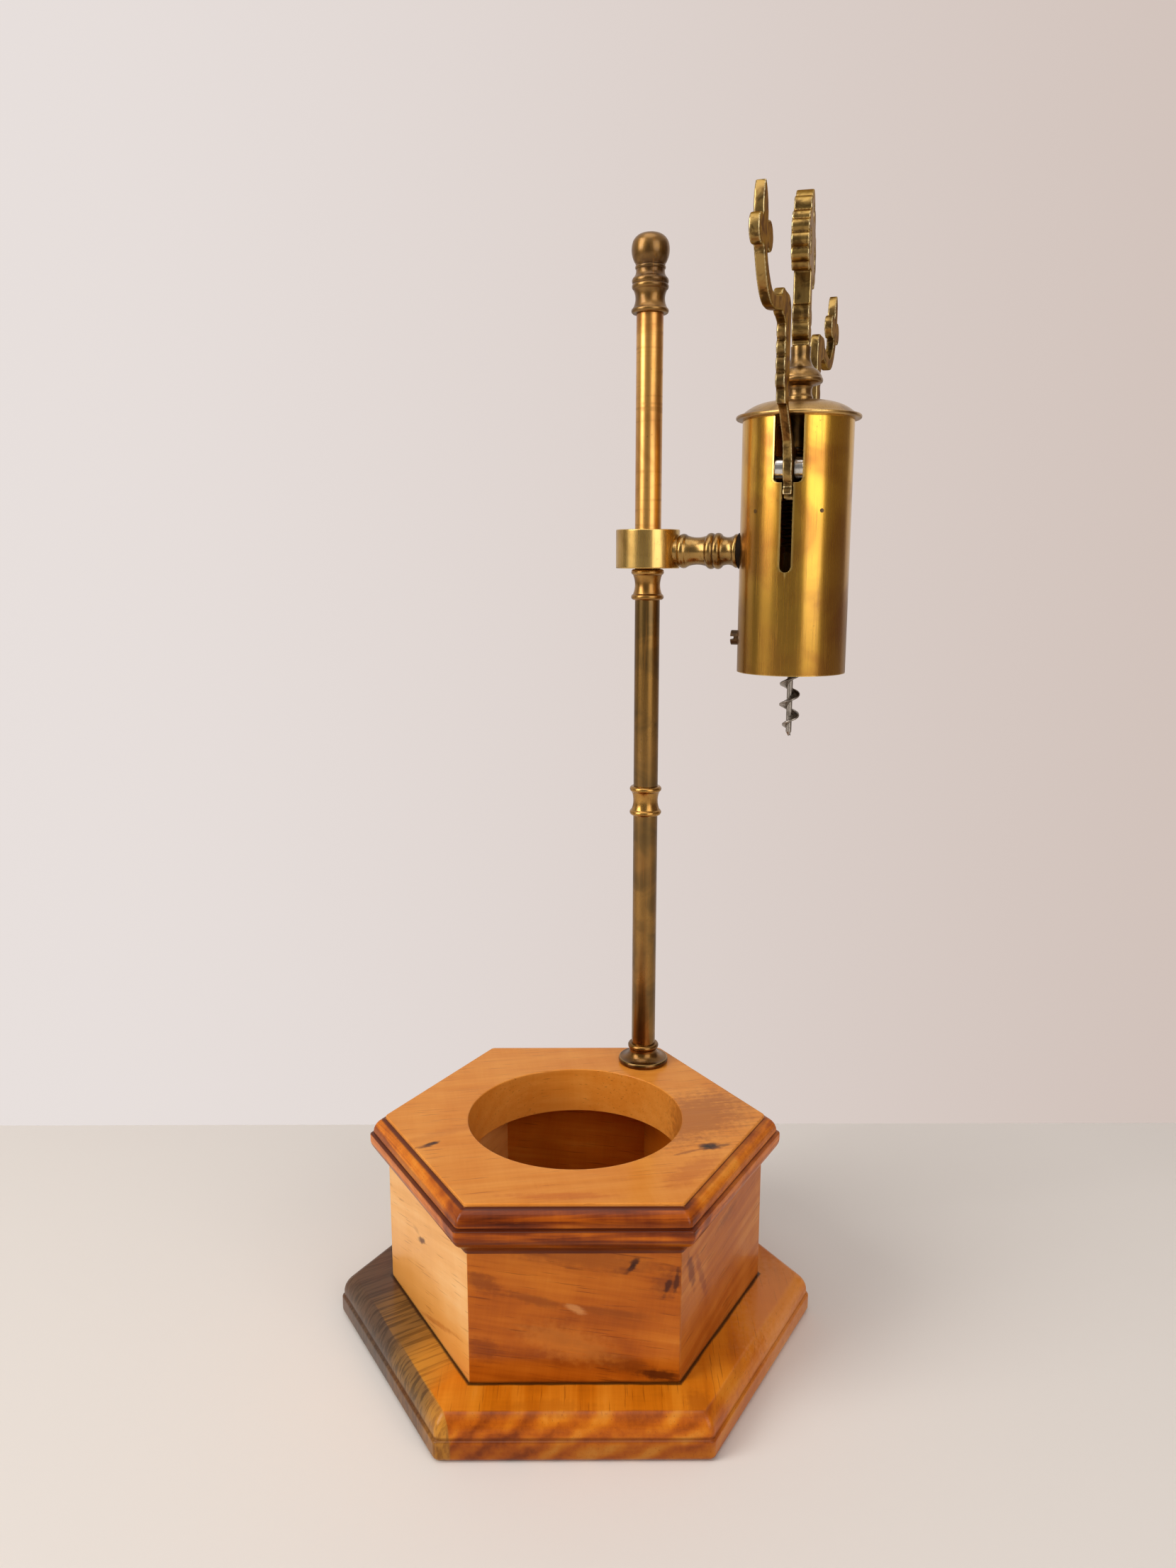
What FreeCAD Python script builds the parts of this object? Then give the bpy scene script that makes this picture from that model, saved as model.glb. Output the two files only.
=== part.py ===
import FreeCAD
import Part
import math
import os

V = FreeCAD.Vector
AXIS = V(0, 0, 1)

# Millimetres. The origin is the middle of the stand's underside, +Z is up and the
# stand's front flat faces -Y. Heights called *_z are above the table.

# ---------------------------------------------------------------- driving dimensions
# Plinth: axis to a flat, then the mouldings from the table upwards
plinth_half = 84.87
plinth_band = 8.0
plinth_quirk = 0.8
plinth_ovolo = 8.2
plinth_ovolo_inset = 4.87
plinth_foot_round = 2.5
recess_floor = 7.0

# Hexagonal body of six mitred boards
body_half = 66.08
body_height = 52.1
board_thickness = 12.0

# Top board: mouldings from its underside upwards, reaches measured out from the body
top_cove = 4.2
top_cove_reach = 3.32
top_round = 5.0
top_reach = 6.41
top_fillet = 2.8
top_groove = 0.6
top_groove_depth = 1.2
top_ovolo = 5.7
top_ovolo_inset = 5.1
top_edge = 1.4

# Bottle well, the same bore in the top board and the plinth's recess
well_radius = 43.25

# Column of tubes and knops, on the tie rod
column_reach = 60.5
column_angle = 60.0
tube_radius = 5.2
upper_tube_radius = 5.4
tube_bore = 3.6
foot_height = 9.0
foot_radius = 10.5
lower_tube_length = 104.4
knop_height = 12.6
knop_radius = 6.8
middle_tube_length = 79.0
upper_tube_length = 100.2
spigot_length = 6.0
rod_radius = 2.5
rod_depth_in_finial = 20.0
nut_flats = 8.0
nut_height = 4.0
nut_recess_depth = 8.0
washer_radius = 6.25
washer_thickness = 1.2
washer_recess_gap = 0.65
rod_past_nut = 1.5

# Plinth screws
screw_radius = 2.0
screw_head_radius = 3.7
screw_grip = 15.0
screw_slot = 0.9
screw_sink = 0.8

# Ring, bush and arm. The head's angle is measured from +X towards -Y
head_angle = 19.0
ring_radius = 13.2
ring_height = 15.7
bush_radius = 7.4
bush_flange_radius = 9.0
bush_flange = 1.2
arm_below_ring_top = 8.7
arm_stud_radius = 2.0
arm_stud_grip = 16.0
arm_tenon_radius = 3.0
arm_tenon_length = 3.0
arm_washer_radius = 7.1
arm_washer_thickness = 0.6
arm_nut_flats = 7.0
arm_nut_height = 3.2
stud_end = 0.4

# Barrel, cap and mouth
barrel_radius = 21.6
barrel_wall = 1.5
barrel_length = 97.9
barrel_below_arm = 48.0
cap_overhang = 2.7
cap_rim = 2.8
cap_dome = 5.4
cap_plate = 2.0
cap_spigot = 3.0
cap_spigot_wall = 1.5
guide_recess = 0.5
guide_height = 17.5
guide_lip = 1.45
guide_cone_height = 11.5
guide_taper = 3.4
guide_shoulder = 2.7
guide_screw_radius = 1.45
guide_screw_head_radius = 3.0
guide_screw_head = 2.9
guide_screw_above_mouth = 13.3

# Rack, levers and their pins
pivot_below_barrel_top = 19.1
pivot_inside_wall = 4.1
gear_module = 1.0
pressure_angle = 20.0
gear_backlash = 0.2
rack_pitch_radius = 5.0
rack_end = 8.2
lever_swing = 120.0
lever_thickness = 3.6
lever_standoff = 10.4
lever_over_cap = 0.9
lobe_radius = 2.9
lobe_step = 5.5
bud_radius = 4.6
slot_half = 5.5
slot_corner = 2.0
slot_below_pivot = 5.6
slit_below_pivot = 39.1
pin_radius = 1.5
collar_radius = 4.2
lug_thickness = 2.0
lug_radius = 4.6
lug_flange_width = 6.7
lug_flange_up = 6.0
lug_flange_down = 20.0
rivet_radius = 0.8
rivet_turn = 36.0
rivet_below_pivot = 15.9

# Spindle, worm and handle
spindle_radius = 2.5
socket_radius = 4.6
socket_length = 14.7
worm_length = 58.9
worm_helix_top = 7.0
worm_pitch = 8.45
worm_radius = 4.1
worm_core = 1.15
worm_blade_root = 2.9
worm_blade_rim = 0.8
worm_point = 0.15
worm_shank = 1.6
worm_tip_length = 7.0
worm_left_above_tip = 12.9
worm_left_angle = 189.0
shank_grip = 10.0
shaft_in_boss = 24.0
neck_radius = 5.55
neck_above_cap = 4.9
mushroom_radius = 8.9
mushroom_height = 14.2
plate_turn = 5.5
plate_thickness = 6.7
plate_height = 56.0
crest_radius = 8.0
crest_hole = 3.2
scroll_reach = 14.5
scroll_below_crest = 21.5
scroll_radius = 8.6
scroll_hole = 4.4
scallop_radius = 2.6
tang_radius = 2.0
tang_length = 9.0
cross_pin_radius = 0.75
cross_pin_half = 3.9
cross_pin_below_top = 6.0

# Clearances
running = 0.06
seat = 0.02
push_fit = 0.05
lift_gap = 0.3
slit_clearance = 0.4
side_gap = 0.35
hole_clearance = 0.1
cap_hole_clearance = 0.3

# ---------------------------------------------------------------- sizes that follow
plinth_height = plinth_band + plinth_quirk + plinth_ovolo
top_height = top_cove + top_round + top_fillet + top_groove + top_ovolo + top_edge
top_under_z = plinth_height + body_height
top_z = top_under_z + top_height

foot_top_z = top_z + foot_height
lower_knop_z = foot_top_z + lower_tube_length
middle_tube_z = lower_knop_z + knop_height
upper_knop_z = middle_tube_z + middle_tube_length
upper_tube_z = upper_knop_z + knop_height
finial_z = upper_tube_z + upper_tube_length

ring_z = upper_tube_z + lift_gap
ring_top_z = ring_z + ring_height
arm_z = ring_z + ring_height - arm_below_ring_top
barrel_z = arm_z - barrel_below_arm
barrel_top_z = barrel_z + barrel_length
barrel_bore = barrel_radius - barrel_wall
cap_radius = barrel_radius + cap_overhang
cap_rim_z = barrel_top_z + cap_rim
guide_z = barrel_z + guide_recess
guide_top_z = guide_z + guide_height
push_radius = barrel_bore - push_fit
guide_mouth_radius = push_radius - guide_lip
guide_cone_radius = guide_mouth_radius - guide_taper
guide_hole_radius = guide_cone_radius - guide_shoulder
guide_screw_z = barrel_z + guide_screw_above_mouth
arm_root_x = ring_radius - column_reach
arm_end_x = -barrel_radius - arm_washer_thickness
arm_length = arm_end_x - arm_root_x

pivot_z = barrel_top_z - pivot_below_barrel_top
pivot_radius = barrel_bore - pivot_inside_wall
sector_radius = pivot_radius - rack_pitch_radius
tooth_step = math.pi * gear_module
rack_crest_radius = rack_pitch_radius + gear_module
rack_root_radius = rack_pitch_radius - 1.25 * gear_module
lift = sector_radius * math.radians(lever_swing)
sleeve_z = pivot_z - lift - rack_end
sleeve_top_z = pivot_z + rack_end
socket_top_z = sleeve_z - lift_gap
worm_top_z = socket_top_z - socket_length
worm_tip_z = worm_top_z - worm_length
slit_half = lever_thickness / 2 + slit_clearance
collar_inner = lever_thickness / 2 + side_gap
collar_outer = slot_half - seat
cap_hole_radius = rack_crest_radius + cap_hole_clearance
boss_z = sleeve_top_z + lift_gap
mushroom_z = cap_rim_z + cap_dome + neck_above_cap
boss_top_z = mushroom_z + mushroom_height

column_x = column_reach * math.cos(math.radians(column_angle))
column_y = column_reach * math.sin(math.radians(column_angle))
barrel_x = column_x + column_reach * math.cos(math.radians(head_angle))
barrel_y = column_y - column_reach * math.sin(math.radians(head_angle))

nodes = {}


# ---------------------------------------------------------------- helpers
def point(pair):
    # A profile's (x, z) pair as a vector in the XZ plane
    return V(pair[0], 0, pair[1])


def face(start, *steps):
    # Closed face in the XZ plane. A step is an end point, or (via, end) for an arc.
    edges = []
    here = point(start)
    for step in steps:
        if isinstance(step[0], tuple):
            end = point(step[1])
            edges.append(Part.Arc(here, point(step[0]), end).toShape())
        else:
            end = point(step)
            edges.append(Part.LineSegment(here, end).toShape())
        here = end
    edges.append(Part.LineSegment(here, point(start)).toShape())
    return Part.Face(Part.Wire(edges))


def turned(start, *steps):
    # Solid of revolution about Z from a profile of (radius, height) pairs
    return face(start, *steps).revolve(V(0, 0, 0), AXIS, 360)


def rod(radius, low, high, x=0.0, y=0.0):
    # Upright cylinder between two heights
    return Part.makeCylinder(radius, high - low, V(x, y, low), AXIS)


def lying(radius, low, high, direction, middle):
    # Cylinder along a horizontal direction, from low to high measured from the middle
    return Part.makeCylinder(radius, high - low, middle + direction * low, direction)


def box(x_range, y_range, z_range):
    size = [high - low for low, high in (x_range, y_range, z_range)]
    return Part.makeBox(*size, V(x_range[0], y_range[0], z_range[0]))


def turn(shape, angle):
    # Copy turned about the Z axis through the origin
    copy = shape.copy()
    copy.rotate(V(0, 0, 0), AXIS, angle)
    return copy


def move(shape, x, y, z=0.0):
    copy = shape.copy()
    copy.translate(V(x, y, z))
    return copy


def join(shapes):
    # One solid from overlapping shapes, without the seams
    return shapes[0].multiFuse(shapes[1:]).removeSplitter()


def prism(flats, low, high):
    # Hexagonal nut or board blank about Z, with flats facing -Y and +Y
    corner = flats / math.sqrt(3)
    points = [V(corner, 0, low)]
    for k in range(1, 7):
        angle = math.radians(60 * k)
        points.append(V(corner * math.cos(angle), corner * math.sin(angle), low))
    return Part.Face(Part.makePolygon(points)).extrude(V(0, 0, high - low))


def moulded(start, *steps):
    # Hexagonal board: the (distance from the axis, height) profile runs along all six flats
    reach = 200.0
    strip = move(face(start, *steps), 0, -reach).extrude(V(0, 2 * reach, 0))
    side = reach * math.tan(math.radians(30))
    corners = [V(0, 0, -reach), V(reach, -side, -reach), V(reach, side, -reach), V(0, 0, -reach)]
    wedge = Part.Face(Part.makePolygon(corners)).extrude(V(0, 0, 2 * reach))
    sixth = strip.common(wedge)
    return join([turn(sixth, 60 * k - 90) for k in range(6)])


def on_column(shape):
    return move(shape, column_x, column_y)


def on_head(shape):
    # From the head's own frame (barrel on Z, column towards -X) to its place at rest
    return move(turn(shape, -head_angle), barrel_x, barrel_y)


def at_slot(shape, side):
    # From a frame with +X out through a slot; side is -1 at the front, +1 at the back
    return on_head(turn(shape, 90 * side))


def node(name, *shapes):
    nodes[name] = [solid for shape in shapes for solid in shape.Solids]


# ---------------------------------------------------------------- stand
def make_plinth():
    quirk_z = plinth_band + plinth_quirk
    inner = plinth_half - 0.87
    top = plinth_half - plinth_ovolo_inset
    board = moulded(
        (0, 0),
        (plinth_half - plinth_foot_round, 0),
        ((plinth_half - 0.29 * plinth_foot_round, 0.29 * plinth_foot_round),
         (plinth_half, plinth_foot_round)),
        (plinth_half, plinth_band),
        (inner, plinth_band + plinth_quirk / 2),
        (inner, quirk_z),
        ((top + 0.78 * (inner - top), quirk_z + 0.6 * plinth_ovolo), (top, plinth_height)),
        (0, plinth_height),
    )
    board = board.cut(rod(well_radius, recess_floor, plinth_height + 1))
    for k in range(6):
        x, y = screw_place(k)
        board = board.cut(rod(screw_radius + hole_clearance, -1, plinth_height + 1, x, y))
        board = board.cut(move(screw_head(hole_clearance), x, y))
        board = board.cut(rod(screw_head_radius + hole_clearance, -1, screw_sink, x, y))
    node("plinth", board)


def screw_place(k):
    # Middle of a side board's underside
    angle = math.radians(60 * k - 90)
    distance = body_half - board_thickness / 2
    return distance * math.cos(angle), distance * math.sin(angle)


def screw_head(extra):
    depth = screw_head_radius - screw_radius
    under = V(0, 0, screw_sink)
    return Part.makeCone(screw_head_radius + extra, screw_radius + extra, depth, under, AXIS)


def make_plinth_screws():
    end = plinth_height + screw_grip
    wide = (-screw_head_radius, screw_head_radius)
    slot = box(wide, (-screw_slot / 2, screw_slot / 2), (0, screw_sink + 1))
    screw = join([screw_head(0), rod(screw_radius, screw_sink, end)]).cut(slot)
    node("plinth_screws", *[move(screw, *screw_place(k)) for k in range(6)])


def make_side_boards():
    names = ("front", "front_right", "back_right", "back", "back_left", "front_left")
    inner = body_half - board_thickness
    slope = math.tan(math.radians(30))
    corners = [(inner, -inner * slope), (body_half, -body_half * slope),
               (body_half, body_half * slope), (inner, inner * slope), (inner, -inner * slope)]
    blank = Part.Face(Part.makePolygon([V(x, y, plinth_height) for x, y in corners]))
    board = blank.extrude(V(0, 0, body_height))
    for k, name in enumerate(names):
        x, y = screw_place(k)
        pilot = rod(screw_radius + seat, plinth_height - 1, plinth_height + screw_grip + 1, x, y)
        node("side_board_" + name, turn(board, 60 * k - 90).cut(pilot))


def make_top_board():
    cove_x = body_half + top_cove_reach
    wide = body_half + top_reach
    start_x = body_half + 0.5
    round_z = top_under_z + top_cove + top_round
    fillet_z = round_z + top_fillet
    groove_z = fillet_z + top_groove
    ovolo_z = groove_z + top_ovolo
    ovolo_x = wide - top_ovolo_inset
    groove_x = wide - top_groove_depth
    board = moulded(
        (0, top_under_z),
        (start_x, top_under_z),
        ((start_x + 0.3 * top_cove_reach, top_under_z + 0.62 * top_cove),
         (cove_x, top_under_z + top_cove)),
        ((wide - 0.25 * (wide - cove_x), round_z - 0.55 * top_round), (wide, round_z)),
        (wide, fillet_z),
        (groove_x - 0.3, fillet_z + 0.2),
        (groove_x, groove_z),
        ((ovolo_x + 0.72 * (groove_x - ovolo_x), groove_z + 0.62 * top_ovolo), (ovolo_x, ovolo_z)),
        (ovolo_x - 0.6, ovolo_z),
        (ovolo_x - 0.6, top_z),
        (0, top_z),
    )
    board = board.cut(rod(well_radius, top_under_z - 1, top_z + 1))
    board = board.cut(rod(rod_radius + hole_clearance, top_under_z - 1, top_z + 1, column_x, column_y))
    recess_radius = washer_radius + washer_recess_gap
    recess = rod(recess_radius, top_under_z - 1, top_under_z + nut_recess_depth, column_x, column_y)
    node("top_board", board.cut(recess))


# ---------------------------------------------------------------- column
def make_tie_rod():
    washer_top = top_under_z + nut_recess_depth
    nut_top = washer_top - washer_thickness
    nut_z = nut_top - nut_height
    washer = rod(washer_radius, nut_top, washer_top).cut(rod_hole(nut_top, washer_top))
    nut = prism(nut_flats, nut_z, nut_top).cut(rod(rod_radius + seat, nut_z - 1, nut_top + 1))
    node("tie_rod_washer", on_column(washer))
    node("tie_rod_nut", on_column(nut))
    node("tie_rod", on_column(rod(rod_radius, nut_z - rod_past_nut, finial_z + rod_depth_in_finial)))


def rod_hole(low, high):
    return rod(rod_radius + hole_clearance, low - 1, high + 1)


def spigot(low, high):
    # Plug inside a tube's bore
    return rod(tube_bore - push_fit, low, high)


def make_column_foot():
    z = top_z
    body = turned(
        (0, z),
        (foot_radius, z),
        ((foot_radius + 0.5, z + 1.2), (foot_radius, z + 2.4)),
        ((knop_radius + 0.4, z + 3.6), (knop_radius - 0.6, z + foot_height - 2.4)),
        ((knop_radius, z + foot_height - 1.2), (knop_radius - 0.8, z + foot_height)),
        (0, z + foot_height),
    )
    body = join([body, spigot(z + foot_height - 1, z + foot_height + spigot_length)])
    node("column_foot", on_column(body.cut(rod_hole(z, z + foot_height + spigot_length))))


def make_tubes():
    spans = (("lower_tube", foot_top_z, lower_tube_length, tube_radius),
             ("middle_tube", middle_tube_z, middle_tube_length, tube_radius),
             ("upper_tube", upper_tube_z, upper_tube_length, upper_tube_radius))
    for name, low, length, radius in spans:
        tube = rod(radius, low, low + length).cut(rod(tube_bore, low - 1, low + length + 1))
        node(name, on_column(tube))


def make_knop(name, z):
    # Turned coupling: a bead at each end and a hollow waist, with a plug into each tube
    bead = 2.4
    edge = knop_radius - 0.8
    top = z + knop_height
    body = turned(
        (0, z),
        (edge, z),
        ((knop_radius, z + bead / 2), (edge, z + bead)),
        ((knop_radius - 1.55, z + knop_height / 2), (edge, top - bead)),
        ((knop_radius, top - bead / 2), (edge, top)),
        (0, top),
    )
    body = join([body, spigot(z - spigot_length, top + spigot_length)])
    node(name, on_column(body.cut(rod_hole(z - spigot_length, top + spigot_length))))


def make_finial():
    z = finial_z
    body = turned(
        (0, z),
        (6.9, z),
        ((7.5, z + 1.0), (6.9, z + 2.0)),
        ((5.9, z + 5.6), (6.7, z + 8.9)),
        ((7.35, z + 10.0), (7.0, z + 11.1)),
        ((7.35, z + 12.3), (6.7, z + 13.5)),
        ((5.85, z + 15.0), (5.8, z + 16.6)),
        ((6.1, z + 17.3), (5.8, z + 18.0)),
        (6.0, z + 18.7),
        ((7.45, z + 22.4), (7.1, z + 26.8)),
        ((5.7, z + 28.75), (3.4, z + 29.95)),
        (0, z + 30.3),
    )
    body = join([body, spigot(z - spigot_length, z + 1)])
    bore = rod(rod_radius + hole_clearance, z - spigot_length - 1, z + rod_depth_in_finial + 0.5)
    node("finial", on_column(body.cut(bore)))


# ---------------------------------------------------------------- ring, bush and arm
def make_slide_bush():
    # The flange stands up inside the ring's counterbore and carries the ring
    flange = rod(bush_flange_radius, ring_z, ring_z + bush_flange)
    body = join([rod(bush_radius, ring_z, ring_top_z), flange])
    bore = rod(upper_tube_radius + running, ring_z - 1, ring_top_z + 1)
    node("slide_bush", on_column(body.cut(bore)))


def make_ring():
    edge = 0.5
    body = turned(
        (0, ring_z),
        (ring_radius - edge, ring_z),
        ((ring_radius - 0.29 * edge, ring_z + 0.29 * edge), (ring_radius, ring_z + edge)),
        (ring_radius, ring_top_z - edge),
        ((ring_radius - 0.29 * edge, ring_top_z - 0.29 * edge), (ring_radius - edge, ring_top_z)),
        (0, ring_top_z),
    )
    body = body.cut(rod(bush_radius + running, ring_z - 1, ring_top_z + 1))
    body = body.cut(rod(bush_flange_radius + hole_clearance, ring_z - 1, ring_z + bush_flange + running))
    body = move(body, -column_reach, 0)
    socket_x = arm_root_x - arm_tenon_length - hole_clearance
    socket = lying(arm_tenon_radius + seat, socket_x, arm_root_x + 1, V(1, 0, 0), V(0, 0, arm_z))
    node("ring", on_head(body.cut(socket)))


def make_arm():
    # Baluster turned about X: root bead, waist, double bead in the middle, waist, end bead
    middle = 0.6 * arm_length
    last = arm_length
    shape = face(
        (-4, 0),
        (-4, 5.9),
        (0.2, 5.9),
        ((2.1, 6.5), (4.2, 6.0)),
        ((7.2, 5.6), (middle - 3.2, 6.2)),
        (middle - 2.9, 6.6),
        ((middle - 1.5, 7.25), (middle, 6.6)),
        ((middle + 1.5, 7.25), (middle + 2.9, 6.6)),
        (middle + 3.2, 6.1),
        (((middle + 3.2 + last - 2.0) / 2, 5.5), (last - 2.0, 6.2)),
        ((last - 1.0, 6.75), (last, 6.3)),
        (last, 0),
    ).revolve(V(0, 0, 0), V(1, 0, 0), 360)
    shape = move(shape, arm_root_x, 0, arm_z)
    along = V(1, 0, 0)
    level = V(0, 0, arm_z)
    ring_saddle = rod(ring_radius + seat, ring_z - 1, ring_top_z + 1, -column_reach)
    tenon = lying(arm_tenon_radius, arm_root_x - arm_tenon_length, arm_root_x + 1, along, level)
    bore = lying(arm_stud_radius + seat, arm_end_x - arm_stud_grip - 0.5, arm_end_x + 1, along, level)
    node("arm", on_head(join([shape.cut(ring_saddle), tenon]).cut(bore)))


def make_arm_fixings():
    along = V(1, 0, 0)
    middle = V(0, 0, arm_z)
    wall = rod(barrel_radius + seat, barrel_z, barrel_top_z)
    washer = lying(arm_washer_radius, arm_end_x, -barrel_radius + 3, along, middle).cut(wall)
    washer = washer.cut(lying(arm_stud_radius + hole_clearance, arm_end_x - 1, 0, along, middle))
    node("arm_washer", on_head(washer))
    nut_face = -math.sqrt(barrel_bore ** 2 - (arm_nut_flats / math.sqrt(3)) ** 2) + seat
    nut = prism(arm_nut_flats, 0, arm_nut_height)
    nut = nut.cut(rod(arm_stud_radius + seat, -1, arm_nut_height + 1))
    nut.rotate(V(0, 0, 0), V(0, 1, 0), 90)
    node("arm_nut", on_head(move(nut, nut_face, 0, arm_z)))
    tip = nut_face + arm_nut_height + stud_end
    node("arm_stud", on_head(lying(arm_stud_radius, arm_end_x - arm_stud_grip, tip, along, middle)))


# ---------------------------------------------------------------- barrel
def slot_cutter():
    # Both slots at once: wide above, with rounded lower corners, and a round-ended slit below
    low = pivot_z - slot_below_pivot
    corner = slot_corner
    reach = barrel_radius + 1
    top = barrel_top_z + 1
    wide = face(
        (-slot_half, top),
        (-slot_half, low + corner),
        ((-slot_half + 0.29 * corner, low + 0.29 * corner), (-slot_half + corner, low)),
        (slot_half - corner, low),
        ((slot_half - 0.29 * corner, low + 0.29 * corner), (slot_half, low + corner)),
        (slot_half, top),
    )
    end = pivot_z - slit_below_pivot + slit_half
    slit = face(
        (-slit_half, low + 1),
        (-slit_half, end),
        ((0, end - slit_half), (slit_half, end)),
        (slit_half, low + 1),
    )
    both = [move(shape, 0, -reach).extrude(V(0, 2 * reach, 0)) for shape in (wide, slit)]
    return both[0].fuse(both[1])


def rivet(side_x, extra):
    # Rivet through the wall and the lug's flange, seen from the slot's frame
    direction = turn(Part.Vertex(1, 0, 0), side_x * rivet_turn).Point
    low = barrel_bore - barrel_wall - 0.25
    return lying(rivet_radius + extra, low, barrel_radius + 0.1 + 2 * extra, direction,
                 V(0, 0, pivot_z - rivet_below_pivot))


def make_barrel():
    body = rod(barrel_radius, barrel_z, barrel_top_z)
    body = body.cut(rod(barrel_bore, barrel_z - 1, barrel_top_z + 1)).cut(slot_cutter())
    for radius, z in ((arm_stud_radius, arm_z), (guide_screw_radius, guide_screw_z)):
        hole = lying(radius + hole_clearance, -barrel_radius - 1, -barrel_bore / 2, V(1, 0, 0), V(0, 0, z))
        body = body.cut(hole)
    for side in (-1, 1):
        for side_x in (-1, 1):
            body = body.cut(turn(rivet(side_x, seat), 90 * side))
    node("barrel", on_head(body))


def make_neck_guide():
    # Bell that centres the bottle's lip: a cone up to a shoulder, then a hole for the cork
    body = turned(
        (push_radius - 0.6, guide_z),
        (push_radius, guide_z + 0.6),
        (push_radius, guide_top_z),
        (guide_hole_radius, guide_top_z),
        (guide_hole_radius, guide_z + guide_cone_height),
        (guide_cone_radius, guide_z + guide_cone_height),
        (guide_mouth_radius, guide_z),
    )
    level = V(0, 0, guide_screw_z)
    tapped = lying(guide_screw_radius + seat, -barrel_radius, -guide_hole_radius - 0.5, V(1, 0, 0), level)
    node("neck_guide", on_head(body.cut(tapped)))


def make_guide_screw():
    middle = V(0, 0, guide_screw_z)
    along = V(1, 0, 0)
    head_x = -barrel_radius - seat
    head = lying(guide_screw_head_radius, head_x - guide_screw_head, head_x, along, middle)
    shank = lying(guide_screw_radius, head_x - 1, -guide_hole_radius - 1.5, along, middle)
    slot = box((head_x - guide_screw_head - 1, head_x - guide_screw_head + 1.4),
               (-guide_screw_head_radius - 1, guide_screw_head_radius + 1),
               (guide_screw_z - 0.6, guide_screw_z + 0.6))
    node("guide_screw", on_head(join([head, shank]).cut(slot)))


def make_barrel_cap():
    # Rolled rim and shallow dome, hollow below, with a spigot notched for the two levers
    edge = cap_radius - 1.1
    inner = push_radius - cap_spigot_wall
    spigot_z = barrel_top_z - cap_spigot

    def dome(radius):
        return cap_rim_z + cap_dome * math.sqrt(1 - (radius / edge) ** 2)

    def on_dome(share):
        return share * edge, dome(share * edge)

    def under(radius):
        return radius, dome(radius) - cap_plate

    shape = turned(
        under(cap_hole_radius),
        (under(0.6 * inner), (inner - 1.0, barrel_top_z + 0.6)),
        (inner, barrel_top_z),
        (inner, spigot_z),
        (push_radius, spigot_z),
        (push_radius, barrel_top_z),
        (cap_radius - 0.8, barrel_top_z),
        ((cap_radius, barrel_top_z + cap_rim / 2), (cap_radius - 0.9, cap_rim_z)),
        on_dome(0.97),
        (on_dome(0.8), on_dome(0.55)),
        (on_dome(0.4), (cap_hole_radius, dome(cap_hole_radius))),
    )
    across = (-barrel_radius, barrel_radius)
    notch = box((-slot_half - 1, slot_half + 1), across, (spigot_z - 1, barrel_top_z))
    node("barrel_cap", on_head(shape.cut(notch)))


# ---------------------------------------------------------------- levers
def disc(x, z, radius):
    # Round blank in the XZ plane, as thick as the lever
    return Part.makeCylinder(radius, lever_thickness, V(x, -lever_thickness / 2, z), V(0, 1, 0))


def blank(shape):
    return move(shape, 0, -lever_thickness / 2).extrude(V(0, lever_thickness, 0))


def polygon(*points):
    return face(points[0], *points[1:])


def involute(angle):
    return math.tan(angle) - angle


def sector_teeth():
    # Involute teeth on the side facing the rack, with a gap level with the pivot at rest
    root = sector_radius - 1.25 * gear_module
    outer = sector_radius + gear_module
    base = sector_radius * math.cos(math.radians(pressure_angle))
    step = tooth_step / sector_radius
    half = (tooth_step / 2 - gear_backlash) / (2 * sector_radius)
    start = max(root, base)

    def flank(radius):
        return half + involute(math.radians(pressure_angle)) - involute(math.acos(base / radius))

    def polar(radius, angle):
        return radius * math.cos(angle), radius * math.sin(angle)

    teeth = []
    count = int(math.radians(lever_swing) / step) + 1
    for k in range(-1, count):
        middle = math.pi + (k + 0.5) * step
        between = (start + outer) / 2
        inside = root - 0.5
        teeth.append(blank(face(
            polar(inside, middle - flank(start)),
            polar(start, middle - flank(start)),
            (polar(between, middle - flank(between)), polar(outer, middle - flank(outer))),
            (polar(outer, middle), polar(outer, middle + flank(outer))),
            (polar(between, middle + flank(between)), polar(start, middle + flank(start))),
            polar(inside, middle + flank(start)),
        )))
    first = math.pi - step
    last = math.pi + count * step
    web = blank(face(
        (0, 0),
        polar(root, first),
        (polar(root, (first + last) / 2), polar(root, last)),
    ))
    return [web] + teeth


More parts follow.
